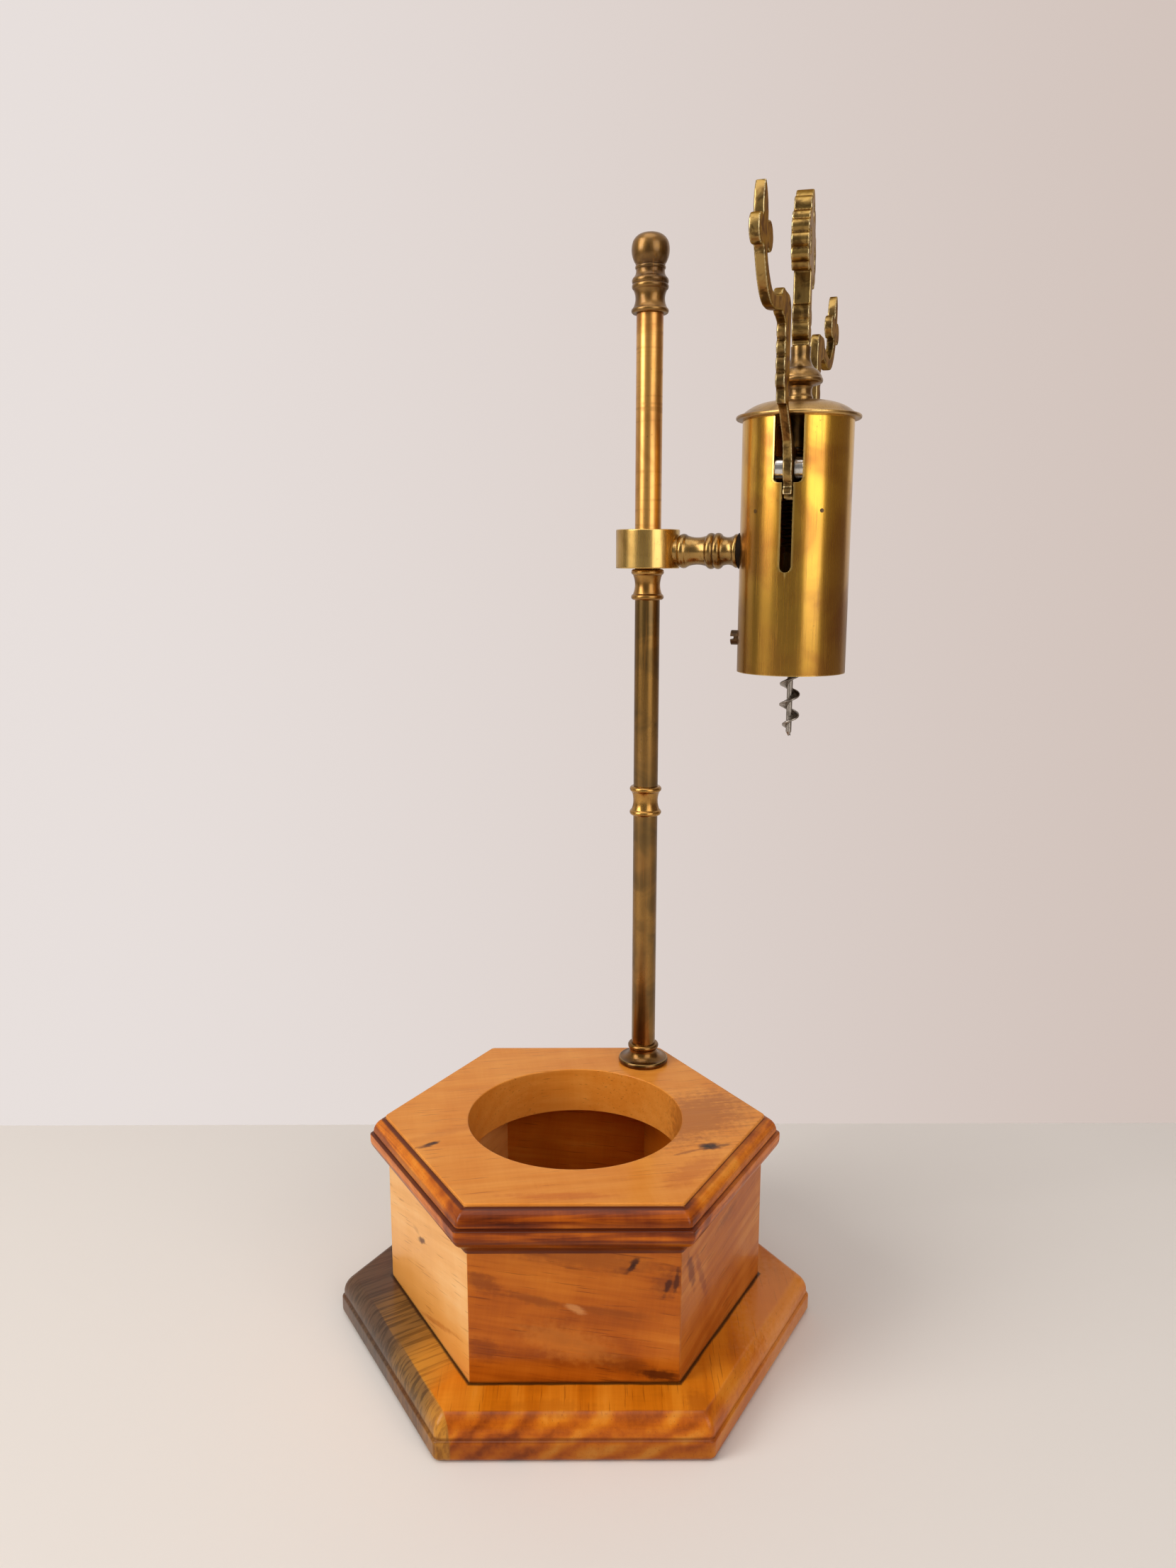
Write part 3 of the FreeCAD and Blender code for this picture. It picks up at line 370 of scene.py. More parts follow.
def woodMaterial(name, look):
    # growth rings r = distance from the pith's line, waved by slow noise; late wood, fibres,
    # pores and cross ripple are laid over them, then knots, stains, painted shade and painted highlights, and the
    # varnish
    made = Recipe(name)
    place = made.place()
    grain, face, depth = (made.along(place, direction) for direction in look["axes"])
    upright = made.along(place, (0.0, 0.0, 1.0))
    frontwards = made.along(place, (0.0, 1.0, 0.0)).size()
    reach = frontwards
    for angle in (30, -30):
        flat = (math.cos(math.radians(angle)), math.sin(math.radians(angle)), 0.0)
        reach = reach.larger(made.along(place, flat).size())

    def drawn(stretch, wide, *settings):
        # noise drawn out along the grain
        return made.noise(made.vector(grain * stretch, face * wide, depth * wide), *settings)

    uneven, broken, fibre, comb, pores = (drawn(*woodNoise[kind]) for kind in woodNoise)
    sway = (drawn(0.35, 1, look["swayScale"]) - 0.5) * look["sway"]
    face0, depth0 = look["pith"]
    across = face - face0 + sway
    away = depth - depth0 + sway * 0.5
    radius = (across * across + away * away).root()
    rings = ((radius / look["ringGap"] + uneven * 1.6) * (2 * math.pi)).sine() * 0.5 + 0.5
    lateWood = rings * (broken.between(*woodSpans["broken"]) * 0.75 + 0.25)
    blotch = drawn(0.45, 1, look["blotchScale"], 3.0, 0.55, 0.6)
    ripple = drawn(1, 0.2, look["rippleScale"])
    tone = (blotch - 0.5) * look["blotch"] + (ripple - 0.5) * look["ripple"] + (comb - 0.5) * look["comb"]
    tone = tone + (fibre - 0.5) * look["fibre"] + look["level"]
    plain = tone + (lateWood - 0.4) * look["rings"]
    colour = made.ramp(plain, look["tones"])
    if "moulding" in look:  # the run edge takes more stain, in streaks along it
        run = look["moulding"]
        flow = made.noise(made.scaled(place, (16.0, 16.0, 300.0)), 1.0, 3.0, 0.6, 0.8)
        beside = 1 - frontwards.past(run["sideFrom"], run["from"])
        streaked = tone + (flow - 0.5) * run["streaks"] + run["level"] + beside * run["sideLevel"]
        streaked = streaked + (lateWood - 0.4) * run["rings"] * (1 - beside * 0.7)
        edge = made.ramp(streaked, run["tones"])
        under = 1 - upright.past(run["under"] - 0.6, run["under"])
        onMoulding = reach.past(run["from"] - 1.2, run["from"] - 0.9) * under
        onMoulding = onMoulding.larger(reach.past(run["from"], run["to"]))
        colour = made.mix(onMoulding, colour, edge)
    if "fade" in look:
        fade = look["fade"]
        low = 1 - (upright + sway * 0.8).past(fade["low"], fade["high"])
        colour = made.laid(low * fade["strength"], colour, fade["colour"])
    pores = pores.between(*woodSpans["pores"]) * look["pores"]
    colour = made.laid(pores, colour, look["tones"][0])
    sapwood = 1.0
    if "heart" in look:  # darker heartwood towards one corner, further round on the run edge
        heart = look["heart"]
        lengthwise, crosswise = (made.along(place, direction) for direction in heart["axes"])
        edge = made.noise(made.vector(lengthwise * 14, crosswise * 60, depth * 30), 1.0, 3.0, 0.6)
        side = made.along(place, heart["towards"])
        outer = made.along(place, heart["outward"])
        side = side + outer.past(heart["edge"], heart["edge"] + 1.2) * heart["further"] * mm
        lines = made.noise(made.vector(lengthwise * 40, crosswise * 760, depth * 200), 1.0, 3.0, 0.62)
        for start, end, dark, light, warm, lined in heart["zones"]:
            mask = (side + (edge - 0.5) * heart["rag"]).past(start, end)
            inner = made.mix(lines.between(*woodSpans["heartLines"]) * lined, paint(*light), paint(*dark))
            inner = made.laid(blotch.between(*woodSpans["heartWarm"]) * 0.5, inner, warm)
            colour = made.mix(mask, colour, inner)
            sapwood = 1 - mask
    ragged = made.noise(place, 420.0, 3.0, 0.6)
    for at, long, wide, turn, strength, shade in look.get("stains", []):
        u0, v0 = (float(np.dot(np.array(at) * mm, axis)) for axis in look["axes"][:2])
        cosine, sine = math.cos(math.radians(turn)), math.sin(math.radians(turn))
        du = ((grain - u0) * cosine + (face - v0) * sine) / (long * mm)
        dv = ((face - v0) * cosine - (grain - u0) * sine) / (wide * mm)
        near = (du * du + dv * dv).root() + (ragged - 0.5) * 0.9 + (fibre - 0.5) * 0.8
        colour = made.laid((1 - near.between(*woodSpans["stain"])) * strength, colour, shade)
    hollow = made.attribute("hollow")
    # painted shade: darker in grooves and hollows, where shade falls
    colour = made.laid(hollow.between(*woodSpans["paintedGrooveShade"]) * look["paintedGrooveShade"], colour, look["paintedGrooveShadeColour"])
    # wear and painted highlight: paler on ridges and convex edges
    colour = made.laid((hollow * -1).between(*woodSpans["worn"]) * look["worn"], colour, look["wornAndHighlightColour"])
    if "moulding" in look:  # painted shade in lines along its quirks, grooves and cove, fainter towards the right
        ragged = (flow - 0.5) * 0.6 * mm
        pale = made.along(place, (1.0, 0.0, 0.0)).past(run["paleFrom"], run["paleFrom"] + 6)
        for low, high, strength in run["lines"]:
            thick, off = high - low, (upright - (low + high) / 2 * mm + ragged).size()
            shadeLine = (1 - off.past(0.3 * thick, 0.65 * thick)) * onMoulding * (1 - pale * run["pale"]) * sapwood
            colour = made.laid(shadeLine * strength, colour, run["paintedShadeLineColour"])
    # a dark joint line with painted shade, where the side boards stand on the plinth
    if "joint" in look:
        joint = look["joint"]
        wander = (made.noise(place, 90.0, 2.0) - 0.5) * 1.2 * mm
        gap = (reach + wander - joint["reach"] * mm).size()
        colour = made.laid((1 - gap.past(0.2, joint["width"])) * joint["strength"], colour, joint["shade"])
    # painted shade along the foot of each board, where it meets the plinth
    if "foot" in look:
        low = upright + (made.noise(place, 70.0, 2.0) - 0.5) * 0.8 * mm
        colour = made.laid((1 - low.past(look["foot"], look["foot"] + 1.4)) * 0.8, colour, look["footShade"])
    gloss = made.noise(place, 45.0, 3.0)
    rough = varnish["rough"] + (gloss - 0.5) * 0.16 + (fibre - 0.5) * 0.08
    rough = rough + hollow.between(*woodSpans["grooveRough"]) * 0.15
    fine = made.bump(fibre * 0.5 + rings * 0.35 + pores * -0.8, varnish["fineBump"], 0.0003)
    normal = made.bump(made.noise(place, 38.0), varnish["brushBump"], 0.0012, fine)
    return made.finish({"Base Color": colour, "Roughness": rough, "Normal": normal,
                        "Specular IOR Level": varnish["specular"], "Coat Weight": varnish["coat"],
                        "Coat Roughness": varnish["coatRough"]})


def hexagonRing(flatSteps, cornerSteps):
    # one lap of a rounded hexagon as core and skin: a point is (d - r) * core + r * skin, with d
    # the reach to the flats, r the corner radius, skin = (cos b, sin b) and b the facing angle
    cores, skins = [], []
    lean = math.tan(math.radians(30))
    for k in range(6):
        flat = math.radians(60 * k - 90)
        normal = np.array([math.cos(flat), math.sin(flat)])
        side = np.array([-math.sin(flat), math.cos(flat)])
        tau = np.linspace(-1, 1, flatSteps)[:, None]
        cores.append(normal + tau * lean * side)
        skins.append(np.repeat(normal[None], flatSteps, 0))
        b = flat + np.radians(np.linspace(0, 60, cornerSteps + 2)[1:-1])
        cores.append(np.repeat((normal + lean * side)[None], cornerSteps, 0))
        skins.append(np.stack([np.cos(b), np.sin(b)], -1))
    return np.concatenate(cores), np.concatenate(skins)


def hexagonMesh(name, rows, corner, closed):
    # rows of (reach, height, roundness): (1 - q) * rounded hexagon + q * circle of the same reach
    core, skin = hexagonRing(flatSteps=25, cornerSteps=7)
    reach, height, roundness = (rows[:, k, None, None] for k in range(3))
    soft = np.minimum(corner, reach)
    flat = (reach - soft) * core[None] + soft * skin[None]
    circle = reach * (core / np.hypot(core[:, :1], core[:, 1:]))[None]
    plan = (1 - roundness) * flat + roundness * circle
    grid = np.concatenate([plan, np.broadcast_to(height, (*plan.shape[:2], 1))], -1)
    return meshFromGrid(name, grid * mm, closedRows=closed)


def hexagonToCircle(outer, inner, height, count):
    # rows from a hexagon's edge in to a round hole, at one height
    t = np.linspace(0, 1, count)
    return np.stack([outer + (inner - outer) * t, np.full(count, height), t], -1)


def withRoundness(profile, roundness):
    # the third column that hexagonMesh reads
    return np.concatenate([profile, np.full((len(profile), 1), roundness)], -1)


# a stain is its place in space, length, width, turn in degrees, strength and colour; painted shade
# lines on a moulding are from a height to a height, and a strength
plinthLook = {
    "axes": ((0.0, 1.0, 0.0), (1.0, 0.0, 0.0), (0.0, 0.0, 1.0)),
    "pith": (0.11, -0.17), "ringGap": 0.0086, "sway": 0.006, "swayScale": 14.0,
    "blotch": 0.75, "blotchScale": 26.0, "ripple": 0.35, "rippleScale": 60.0, "comb": 0.1,
    "rings": 0.22, "fibre": 0.34, "level": 0.6, "pores": 0.4,
    "tones": [(116, 52, 4), (166, 86, 8), (204, 112, 12), (222, 134, 30), (232, 154, 62)],
    "moulding": {"from": 79.4, "to": 80.4, "under": 12.0, "streaks": 0.34, "rings": 0.55, "level": 0.02,
                 "sideFrom": 66.0, "sideLevel": 0.14, "paleFrom": 46.0, "pale": 0.7,
                 "tones": [(86, 32, 0), (132, 56, 0), (180, 88, 4), (204, 114, 14), (216, 136, 40)],
                 "lines": [(7.8, 9.4, 0.45), (15.4, 17.6, 0.12), (-4.0, 8.4, 0.4)], "paintedShadeLineColour": (84, 34, 2)},
    "paintedGrooveShade": 0.3, "paintedGrooveShadeColour": (88, 40, 8), "worn": 0.12, "wornAndHighlightColour": (222, 146, 80),
    "joint": {"reach": 66.3, "width": 1.2, "strength": 0.9, "shade": (52, 26, 10)},
    "heart": {"towards": (-0.85, 0.5, 0.0), "axes": ((0.84, 0.54, 0.0), (-0.54, 0.84, 0.0)), "rag": 0.022,
              "outward": (-0.866, -0.5, 0.0), "edge": 79.2, "further": 22, "zones": [
        # from, to, its dark, light and warm shades, how lined it is
        (4, 18, (156, 102, 34), (198, 136, 48), (200, 122, 36), 0.9),
        (18, 36, (84, 58, 26), (130, 93, 46), (126, 80, 38), 0.9),
        (50, 64, (54, 38, 26), (92, 68, 48), (112, 68, 42), 0.7)]},
    "stains": [
        # painted light: lightens the right part of the ledge, which lies in the body's shadow
        ((80.0, -14.0, 17.0), 46.0, 15.0, 24, 0.55, (226, 148, 80)),
        ((60.0, -50.0, 17.0), 18.0, 3.6, 0, 0.3, (170, 90, 24)),
        ((44.0, -76.0, 17.0), 9.0, 6.0, 0, 0.45, (156, 78, 12)),
        ((-10.0, -78.0, 17.0), 5.0, 26.0, 0, 0.35, (170, 88, 14))],
}
plinthSize = {"reach": 84.87, "height": 17.0, "well": 43.25, "floor": 7.0, "corner": 2.8, "edge": 0.8,
              "flat": 9.0, "rim": 3.0, "foot": 2.5, "step": 8.0, "groove": 0.87, "shoulder": 4.87}


def plinthBoard(size, look):
    # rounded foot, upright to the step, groove, rounded shoulder, flat top, well
    reach, top, edge, bore, floor = (size[key] for key in ("reach", "height", "edge", "well", "floor"))
    foot, step, groove, rim = size["foot"], size["step"], reach - size["groove"], bore + size["rim"]
    side = softened(outline(
        (0, 0), (reach - foot, 0), ((reach - 0.292 * foot, 0.292 * foot), (reach, foot)), (reach, step),
        (groove, step + 0.4), (groove, step + 0.8),
        ((reach - 1.75, step + 5.72), (reach - size["shoulder"], top)), (reach - size["flat"], top)), edge)
    well = softened(outline((rim, top), (bore, top), (bore, floor), (0, floor)), edge)
    rows = np.concatenate([withRoundness(side, 0), hexagonToCircle(reach - size["flat"], rim, top, 9)[1:-1],
                           withRoundness(well, 1)])
    mesh = hexagonMesh("plinthBoard", rows, size["corner"], False)
    addPiece("plinthBoard", mesh, "stand", woodMaterial("plinthWood", look), "plinth")


plinthBoard(plinthSize, plinthLook)
print("plinth done")

topLook = {
    "axes": ((0.985, 0.17, 0.0), (-0.17, 0.985, 0.0), (0.0, 0.0, 1.0)),
    "pith": (0.11, -0.03), "ringGap": 0.0075, "sway": 0.012, "swayScale": 13.0,
    "blotch": 0.5, "blotchScale": 30.0, "ripple": 0.3, "rippleScale": 90.0, "comb": 0.08,
    "rings": 0.08, "fibre": 0.3, "level": 0.62, "pores": 0.4,
    "tones": [(128, 58, 8), (182, 98, 22), (216, 130, 42), (230, 150, 62), (236, 170, 90)],
    "moulding": {"from": 66.75, "to": 67.1, "under": 86.0, "streaks": 1.25, "rings": 0.35, "level": -0.19,
                 "sideFrom": 56.0, "sideLevel": 0.22, "paleFrom": 38.0, "pale": 0.6,
                 "tones": [(70, 22, 0), (124, 50, 0), (172, 82, 2), (212, 116, 14), (228, 144, 44)],
                 "lines": [(86.9, 88.3, 0.9), (82.2, 84.2, 0.35), (80.8, 82.0, 0.9), (74.6, 77.4, 0.45),
                           (60.0, 74.8, 0.8)],
                 "paintedShadeLineColour": (74, 24, 4)},
    "paintedGrooveShade": 0.9, "paintedGrooveShadeColour": (74, 26, 6), "worn": 0.12, "wornAndHighlightColour": (226, 148, 80),
    "stains": [
        ((-55.5, -24.1, 88.8), 5.4, 1.8, 28, 0.95, (58, 30, 18)),
        ((-58.5, -26.0, 88.8), 5.0, 1.0, 10, 0.45, (130, 72, 36)),
        ((51.8, -26.3, 88.8), 5.2, 3.4, -4, 1.0, (46, 30, 20)),
        ((57.0, -25.6, 88.8), 4.4, 1.5, 8, 0.65, (92, 50, 26)),
        ((42.5, -31.0, 88.8), 8.0, 1.0, 14, 0.55, (132, 68, 26)),
        ((48.0, -2.0, 88.8), 44.0, 24.0, 30, 0.75, (164, 92, 34)),
        ((44.0, -44.0, 88.8), 22.0, 7.0, 40, 0.45, (182, 92, 26)),
        ((-50.0, -14.0, 88.8), 24.0, 4.0, 20, 0.35, (196, 112, 38)),
        ((-6.0, -62.0, 88.8), 30.0, 3.0, -10, 0.45, (190, 92, 22))],
}
topSize = {"low": 69.1, "top": 88.8, "flat": 66.79, "wide": 72.49, "well": 43.25, "corner": 2.0, "edge": 0.55,
           "neck": 66.58, "lip": 87.4, "rim": 3.0}


def topBoard(size, look):
    # cove and swell up to the widest line, groove, round to the lip, flat top, well
    low, top, flat, wide, well, neck, lip, rim = (
        size[key] for key in ("low", "top", "flat", "wide", "well", "neck", "lip", "rim"))
    side = softened(outline(
        (neck - rim, low), (neck, low), ((neck + 1.0, low + 2.6), (neck + 2.82, low + 4.2)),
        ((wide - 0.77, low + 6.45), (wide, low + 9.2)), (wide, low + 12.0), (wide - 1.5, low + 12.2),
        (wide - 1.2, low + 12.6), ((flat + 3.41, lip - 2.17), (flat + 0.6, lip)),
        (flat, lip), (flat, top), (flat - rim, top)), size["edge"])
    bore = softened(outline((well + rim, top), (well, top), (well, low), (well + rim, low)), size["edge"])
    over = hexagonToCircle(flat - rim, well + rim, top, 9)[1:-1]
    under = hexagonToCircle(neck - rim, well + rim, low, 7)[::-1][1:-1]
    rows = np.concatenate([withRoundness(side, 0), over, withRoundness(bore, 1), under])
    mesh = hexagonMesh("topBoard", rows, size["corner"], True)
    addPiece("topBoard", mesh, "stand", woodMaterial("topWood", look), "top_board")


topBoard(topSize, topLook)
print("top board done")

boardSize = {"reach": 66.08, "thickness": 12.0, "low": 17.0, "top": 69.1, "corner": 1.1, "edge": 0.45,
             "halfWidth": 30.0}
boardBase = {
    "ringGap": 0.0068, "sway": 0.016, "swayScale": 14.0, "blotch": 0.9, "blotchScale": 24.0,
    "ripple": 0.34, "rippleScale": 80.0, "comb": 0.1, "rings": 0.16, "fibre": 0.36, "pores": 0.5,
    "paintedGrooveShade": 0.8, "paintedGrooveShadeColour": (70, 28, 8), "worn": 0.12, "wornAndHighlightColour": (214, 136, 64), "foot": 17.0,
    "footShade": (44, 20, 8),
}
honeyTones = [(164, 92, 26), (208, 134, 54), (228, 160, 82), (240, 176, 100), (246, 192, 122)]
amberTones = [(92, 36, 2), (140, 62, 4), (176, 88, 12), (196, 108, 24), (212, 132, 46)]
russetTones = [(92, 38, 6), (134, 60, 8), (168, 84, 18), (188, 106, 34), (208, 132, 58)]
darkStroke = (46, 20, 10)
boardLooks = {
    "front": {"tones": amberTones, "level": 0.53, "tilt": -9, "pith": (0.062, -0.03), "stains": [
        # painted shadow: a dark band along the top of the front board, under the moulding's overhang
        ((4.0, -66.1, 67.0), 42.0, 6.0, 0, 0.45, (132, 62, 12)),
        ((-32.4, -66.1, 57.4), 11.0, 4.6, -20, 0.6, (112, 48, 10)),
        ((-13.9, -66.1, 50.5), 15.0, 2.6, -8, 0.5, (118, 54, 12)),
        ((14.3, -66.1, 45.4), 22.0, 2.6, 0, 0.42, (122, 58, 12)),
        ((-10.4, -66.1, 38.2), 14.0, 1.6, -6, 0.4, (124, 58, 14)),
        ((16.0, -66.1, 25.6), 25.0, 5.0, -12, 0.5, (108, 48, 10)),
        ((31.0, -66.1, 20.0), 11.0, 3.2, 4, 0.8, (70, 26, 8)),
        ((-33.0, -66.1, 31.0), 9.0, 5.6, -16, 0.55, (120, 52, 10)),
        ((-2.0, -66.1, 33.0), 24.0, 9.0, -8, 0.5, (206, 122, 40)),
        ((0.7, -66.1, 46.8), 5.4, 1.9, -14, 0.6, (214, 146, 84)),
        ((20.4, -66.1, 63.4), 4.2, 1.5, 58, 0.95, darkStroke),
        ((21.6, -66.1, 65.6), 2.6, 1.8, 30, 0.85, (64, 28, 12)),
        ((17.6, -66.1, 62.0), 6.0, 2.2, 20, 0.4, (112, 52, 16)),
        ((33.3, -66.1, 55.9), 6.0, 1.5, 80, 1.0, darkStroke),
        ((36.4, -66.1, 57.6), 6.6, 1.3, 92, 0.9, darkStroke),
        ((33.5, -66.1, 57.0), 9.0, 7.0, 40, 0.5, (104, 46, 16))]},
    "front_left": {"tones": honeyTones, "level": 0.72, "tilt": 14, "pith": (0.12, 0.05), "blotch": 0.6,
                   "fade": {"low": 20, "high": 46, "strength": 0.7, "colour": (226, 150, 62)}, "stains": [
        ((-59.4, -29.3, 51.1), 4.6, 1.9, 10, 0.95, (108, 62, 30)),
        ((-62.0, -24.7, 52.6), 4.6, 1.6, -20, 0.35, (176, 112, 56)),
        ((-52.0, -42.0, 24.0), 26.0, 1.6, 4, 0.5, (180, 94, 22))]},
    "front_right": {"tones": russetTones, "level": 0.68, "tilt": 8, "pith": (-0.05, -0.04), "stains": [
        ((42.4, -58.8, 57.1), 3.0, 12.0, 12, 0.7, (104, 38, 16)),
        ((47.0, -50.8, 50.0), 2.6, 16.0, 16, 0.5, (122, 44, 22)),
        ((58.0, -31.0, 62.0), 14.0, 2.6, 0, 0.5, (120, 54, 16))]},
    "back_right": {"tones": amberTones, "level": 0.58, "tilt": -5, "pith": (0.07, -0.05)},
    "back": {"tones": amberTones, "level": 0.62, "tilt": 6, "pith": (0.04, -0.05)},
    "back_left": {"tones": honeyTones, "level": 0.5, "tilt": -8, "pith": (0.09, -0.04)},
}


def sideBoard(name, turn, size, look):
    # plan of one mitred board, (reach - r) * core + r * skin out to the mitres, drawn up in z; near the
    # bottom edge each lap shrinks towards the middle by its share of half the board's width
    flat = math.radians(60 * turn - 90)
    normal = np.array([math.cos(flat), math.sin(flat)])
    side = np.array([-math.sin(flat), math.cos(flat)])
    lean, soft = math.tan(math.radians(30)), size["corner"]
    tau = np.concatenate([np.full(4, -1.0), np.linspace(-1, 1, 25), np.full(4, 1.0)])[:, None]
    b = np.concatenate([np.linspace(-30, 0, 5)[:-1], np.zeros(25), np.linspace(0, 30, 5)[1:]])
    b = flat + np.radians(b)
    core = normal + tau * lean * side
    skin = np.stack([np.cos(b), np.sin(b)], -1)
    outside = (size["reach"] - soft) * core + soft * skin
    inner = size["reach"] - size["thickness"]
    inside = inner * (normal + np.array([[1.0], [0.0], [-1.0]]) * lean * side)
    plan = np.concatenate([outside, inside])
    centre = (size["reach"] - size["thickness"] / 2) * normal
    edge = size["edge"]
    rows = [(size["low"], 1.0), (size["low"], edge), (size["low"] + 0.3 * edge, 0.3 * edge),
            (size["low"] + edge, 0), (size["top"], 0), (size["top"], 1.0)]
    laps = []
    for height, shrink in rows:
        pull = centre if shrink == 1.0 else plan - shrink * (plan - centre) / size["halfWidth"]
        laps.append(np.concatenate([np.broadcast_to(pull, plan.shape), np.full((len(plan), 1), height)], -1))
    mesh = meshFromGrid("sideBoard", np.array(laps) * mm)
    tilt = math.radians(look["tilt"])
    level = np.array([*side, 0.0])
    up = np.array([0.0, 0.0, 1.0])
    axes = (level * math.cos(tilt) + up * math.sin(tilt), up * math.cos(tilt) - level * math.sin(tilt),
            np.array([*normal, 0.0]))
    full = {**boardBase, **look, "axes": tuple(tuple(map(float, axis)) for axis in axes)}
    full["pith"] = (look["pith"][0], look["pith"][1] + size["reach"] * mm)
    words = "".join(word.capitalize() for word in name.split("_"))
    addPiece("sideBoard" + words, mesh, "stand", woodMaterial("bodyWood" + words, full),
             "side_board_" + name)


for turn, name in enumerate(("front", "front_right", "back_right", "back", "back_left", "front_left")):
    sideBoard(name, turn, boardSize, boardLooks[name])
print("side boards done")


# metals
brassSpans = {"streaks": (0.52, 0.72), "streakRough": (0.5, 0.75), "blush": (0.55, 0.75), "specks": (0.68, 0.76),
              "dirt": (0.04, 0.5), "rubbedAndHighlight": (0.1, 0.7)}


def brassMaterial(name, look):
    # golden metal browned in patches and streaks, with painted shade in grooves, and wear with a painted
    # highlight on rubbed edges
    made = Recipe(name)
    place = made.place()
    patches = made.noise(place, look["patchScale"], 3.0, 0.55, 0.7)
    streaks = made.noise(made.scaled(place, look["streakStretch"]), look["streakScale"], 2.0, 0.6)
    specks = made.noise(place, 900.0, 2.0, 0.6)
    colour = made.mix(patches.between(*look["patchSpan"]), paint(*look["gold"]), paint(*look["brown"]))
    colour = made.laid(streaks.between(*brassSpans["streaks"]) * look["streaks"], colour, look["streakShade"])
    blush = made.noise(place, look["patchScale"] * 0.45)
    colour = made.laid(blush.between(*brassSpans["blush"]) * look["blush"], colour, look["blushShade"])
    colour = made.laid(specks.between(*brassSpans["specks"]) * look["specks"], colour, look["speckShade"])
    # painted shade: darker towards the bottom, standing in for dimmer reflections there
    if "low" in look:  # browner towards the bottom
        low = look["low"]
        upright = made.along(place, (0.0, 0.0, 1.0)) + (blush - 0.5) * 0.04
        colour = made.laid(upright.past(low["from"], low["to"]) * low["strength"], colour, low["shade"])
    hollow = made.attribute("hollow")
    # painted shade in grooves and hollows, which are also made rougher
    dirt = (hollow + (patches - 0.5) * 0.2).between(*brassSpans["dirt"])
    colour = made.laid(dirt * look["paintedGrooveShade"], colour, look["paintedGrooveShadeColour"])
    # wear and painted highlight: paler and a little smoother on ridges and convex edges
    rubbedAndHighlight = (hollow * -1).between(*brassSpans["rubbedAndHighlight"]) * look["rubbedAndHighlight"]
    colour = made.laid(rubbedAndHighlight, colour, look["rubbedAndHighlightColour"])
    rough = look["rough"] + (patches - 0.5) * look["mottle"] + streaks.between(*brassSpans["streakRough"]) * 0.08
    rough = (rough + dirt * 0.2 - rubbedAndHighlight * 0.06).larger(look["smoothest"])
    fine = made.bump(streaks, look["streakBump"], 0.0002)
    normal = made.bump(made.noise(place, look["castScale"], 2.0, 0.6), look["cast"], 0.0006, fine)
    return made.finish({"Base Color": colour, "Metallic": 1.0, "Roughness": rough, "Normal": normal,
                        "Coat Weight": look["lacquer"], "Coat Roughness": 0.12,
                        "Specular Tint": paint(*look["edgeTint"])})


brassBase = {
    "gold": (216, 166, 70), "brown": (158, 106, 40), "patchScale": 55.0, "patchSpan": (0.4, 0.72),
    "streakStretch": (1.0, 1.0, 0.03), "streakScale": 1400.0, "streaks": 0.35, "streakShade": (150, 96, 36),
    "blush": 0.35, "blushShade": (196, 124, 54), "specks": 0.5, "speckShade": (70, 40, 16),
    "paintedGrooveShade": 0.85, "paintedGrooveShadeColour": (64, 36, 12), "rubbedAndHighlight": 0.6, "rubbedAndHighlightColour": (250, 214, 130),
    "rough": 0.24, "mottle": 0.14, "smoothest": 0.08, "streakBump": 0.06, "castScale": 260.0, "cast": 0.0,
    "lacquer": 0.25, "edgeTint": (255, 255, 255),
}
castBase = {"patchSpan": (0.4, 0.64), "castScale": 170.0, "streaks": 0.0, "rubbedAndHighlight": 0.85,
            "rubbedAndHighlightColour": (244, 224, 172)}
